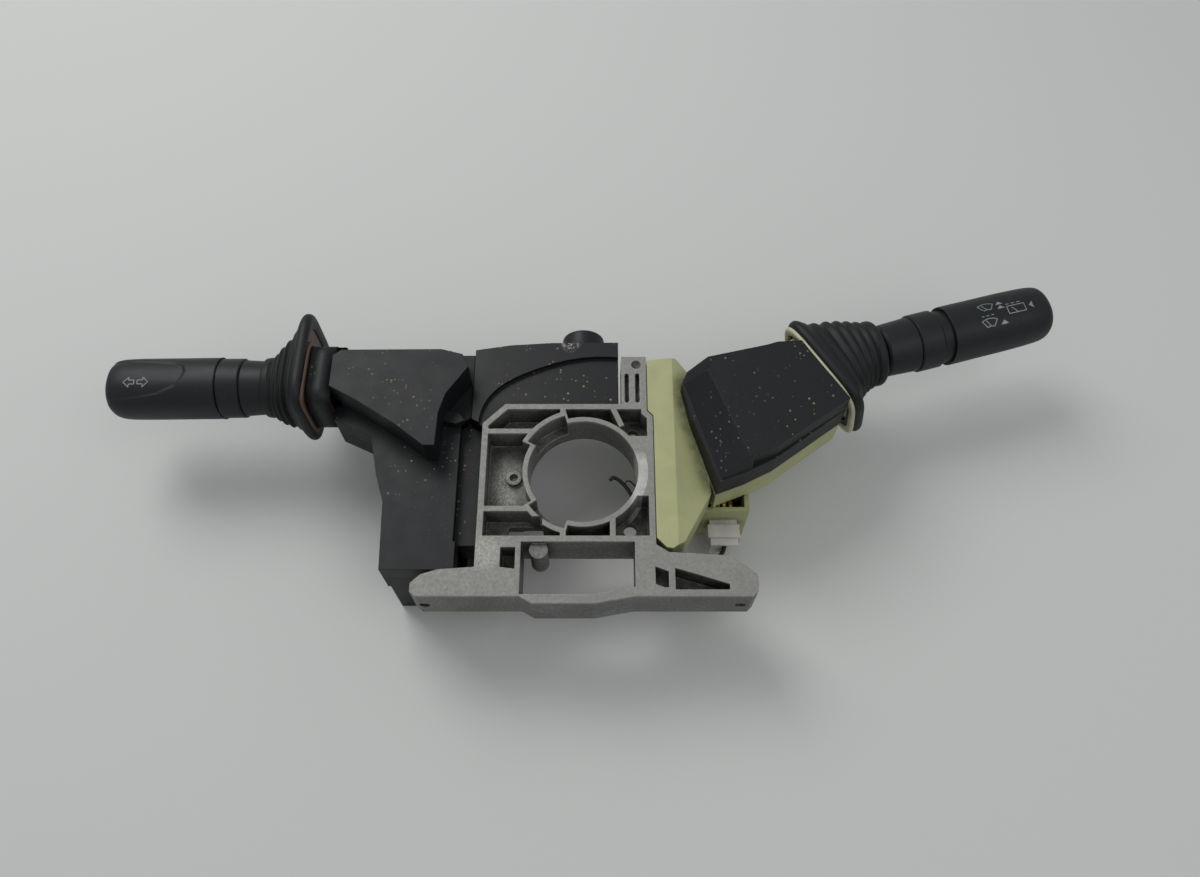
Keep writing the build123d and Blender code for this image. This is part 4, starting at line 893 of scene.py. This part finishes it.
leftSigns = {
    "grip": leftGrip, "body": "left_stalk", "fills": [],
    "strokes": [outlineArrow(104.4, 3.1, 4.5, 4.2), outlineArrow(103.1, 3.1, -4.4, 4.2)],
}
rightSigns = {
    "grip": rightGrip, "body": "right_grip",
    "strokes": [
        fanOutline(100.5, 107.6, 0.5, 4.0), [(104.0, 0.8), (102.4, 3.3)],
        boxOutline(112.6, 120.6, -3.3, 0.2), [(116.6, -3.1), (114.6, -0.6)],
        [(112.6, 1.3), (114.2, 1.3)], [(115.2, 1.3), (116.8, 1.3)], [(117.8, 1.3), (119.4, 1.3)],
        fanOutline(99.5, 106.5, -6.8, -3.3), [(103.0, -6.5), (101.4, -3.9)],
        [(100.2, -2.0), (101.4, -2.0)], [(102.4, -2.0), (103.6, -2.0)], [(104.6, -2.0), (105.8, -2.0)],
    ],
    "fills": [
        [(108.4, 0.0), (111.9, 0.0), (110.15, 1.6)], [(108.4, 2.1), (111.9, 2.1), (110.15, 3.7)],
        [(124.4, -3.0), (124.4, 0.2), (122.4, -1.4)], [(107.6, -6.8), (111.1, -6.8), (109.35, -5.2)],
    ],
}


def makeSigns(name, signs):
    # a stroke is a strip: its line moved half the width to each side, and laid on the grip
    grip, axis = signs["grip"], signs["grip"]["axis"]
    points, faces = [], []
    for line in signs["strokes"]:
        line = numpy.array(line, float)
        for start, end in zip(line[:-1], line[1:]):
            length = numpy.hypot(*(end - start))
            share = numpy.linspace(0.0, 1.0, max(2, int(length / signLook["step"]) + 1))[:, None]
            middle = start + (end - start) * share
            normal = numpy.array([-(end - start)[1], (end - start)[0]]) / length * signLook["width"] / 2
            first = sum(len(block) for block in points)
            points.append(numpy.stack([middle + normal, middle - normal], 1).reshape(-1, 2))
            i = numpy.arange(len(share) - 1) * 2 + first
            faces += numpy.stack([i, i + 1, i + 3, i + 2], -1).tolist()
    for corners in signs["fills"]:
        first = sum(len(block) for block in points)
        points.append(numpy.array(corners, float))
        faces.append([first, first + 1, first + 2])
    flat = numpy.vstack(points)
    height = gripHeight(grip, flat[:, 0], flat[:, 1]) + signLook["lift"]
    placed = axis["origin"] + flat[:, :1] * axis["out"] + flat[:, 1:] * axis["side"] + height[:, None] * axis["up"]
    corners = [placed[face[:3]] for face in faces]
    turned = [face if numpy.cross(c[1] - c[0], c[2] - c[0])[2] > 0 else face[::-1] for face, c in zip(faces, corners)]
    made = addMesh(name, placed, turned, signPaint, smoothed=False)
    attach(made, signs["body"])
    return made


makeSigns("leftSigns", leftSigns)
makeSigns("rightSigns", rightSigns)
print("signs")
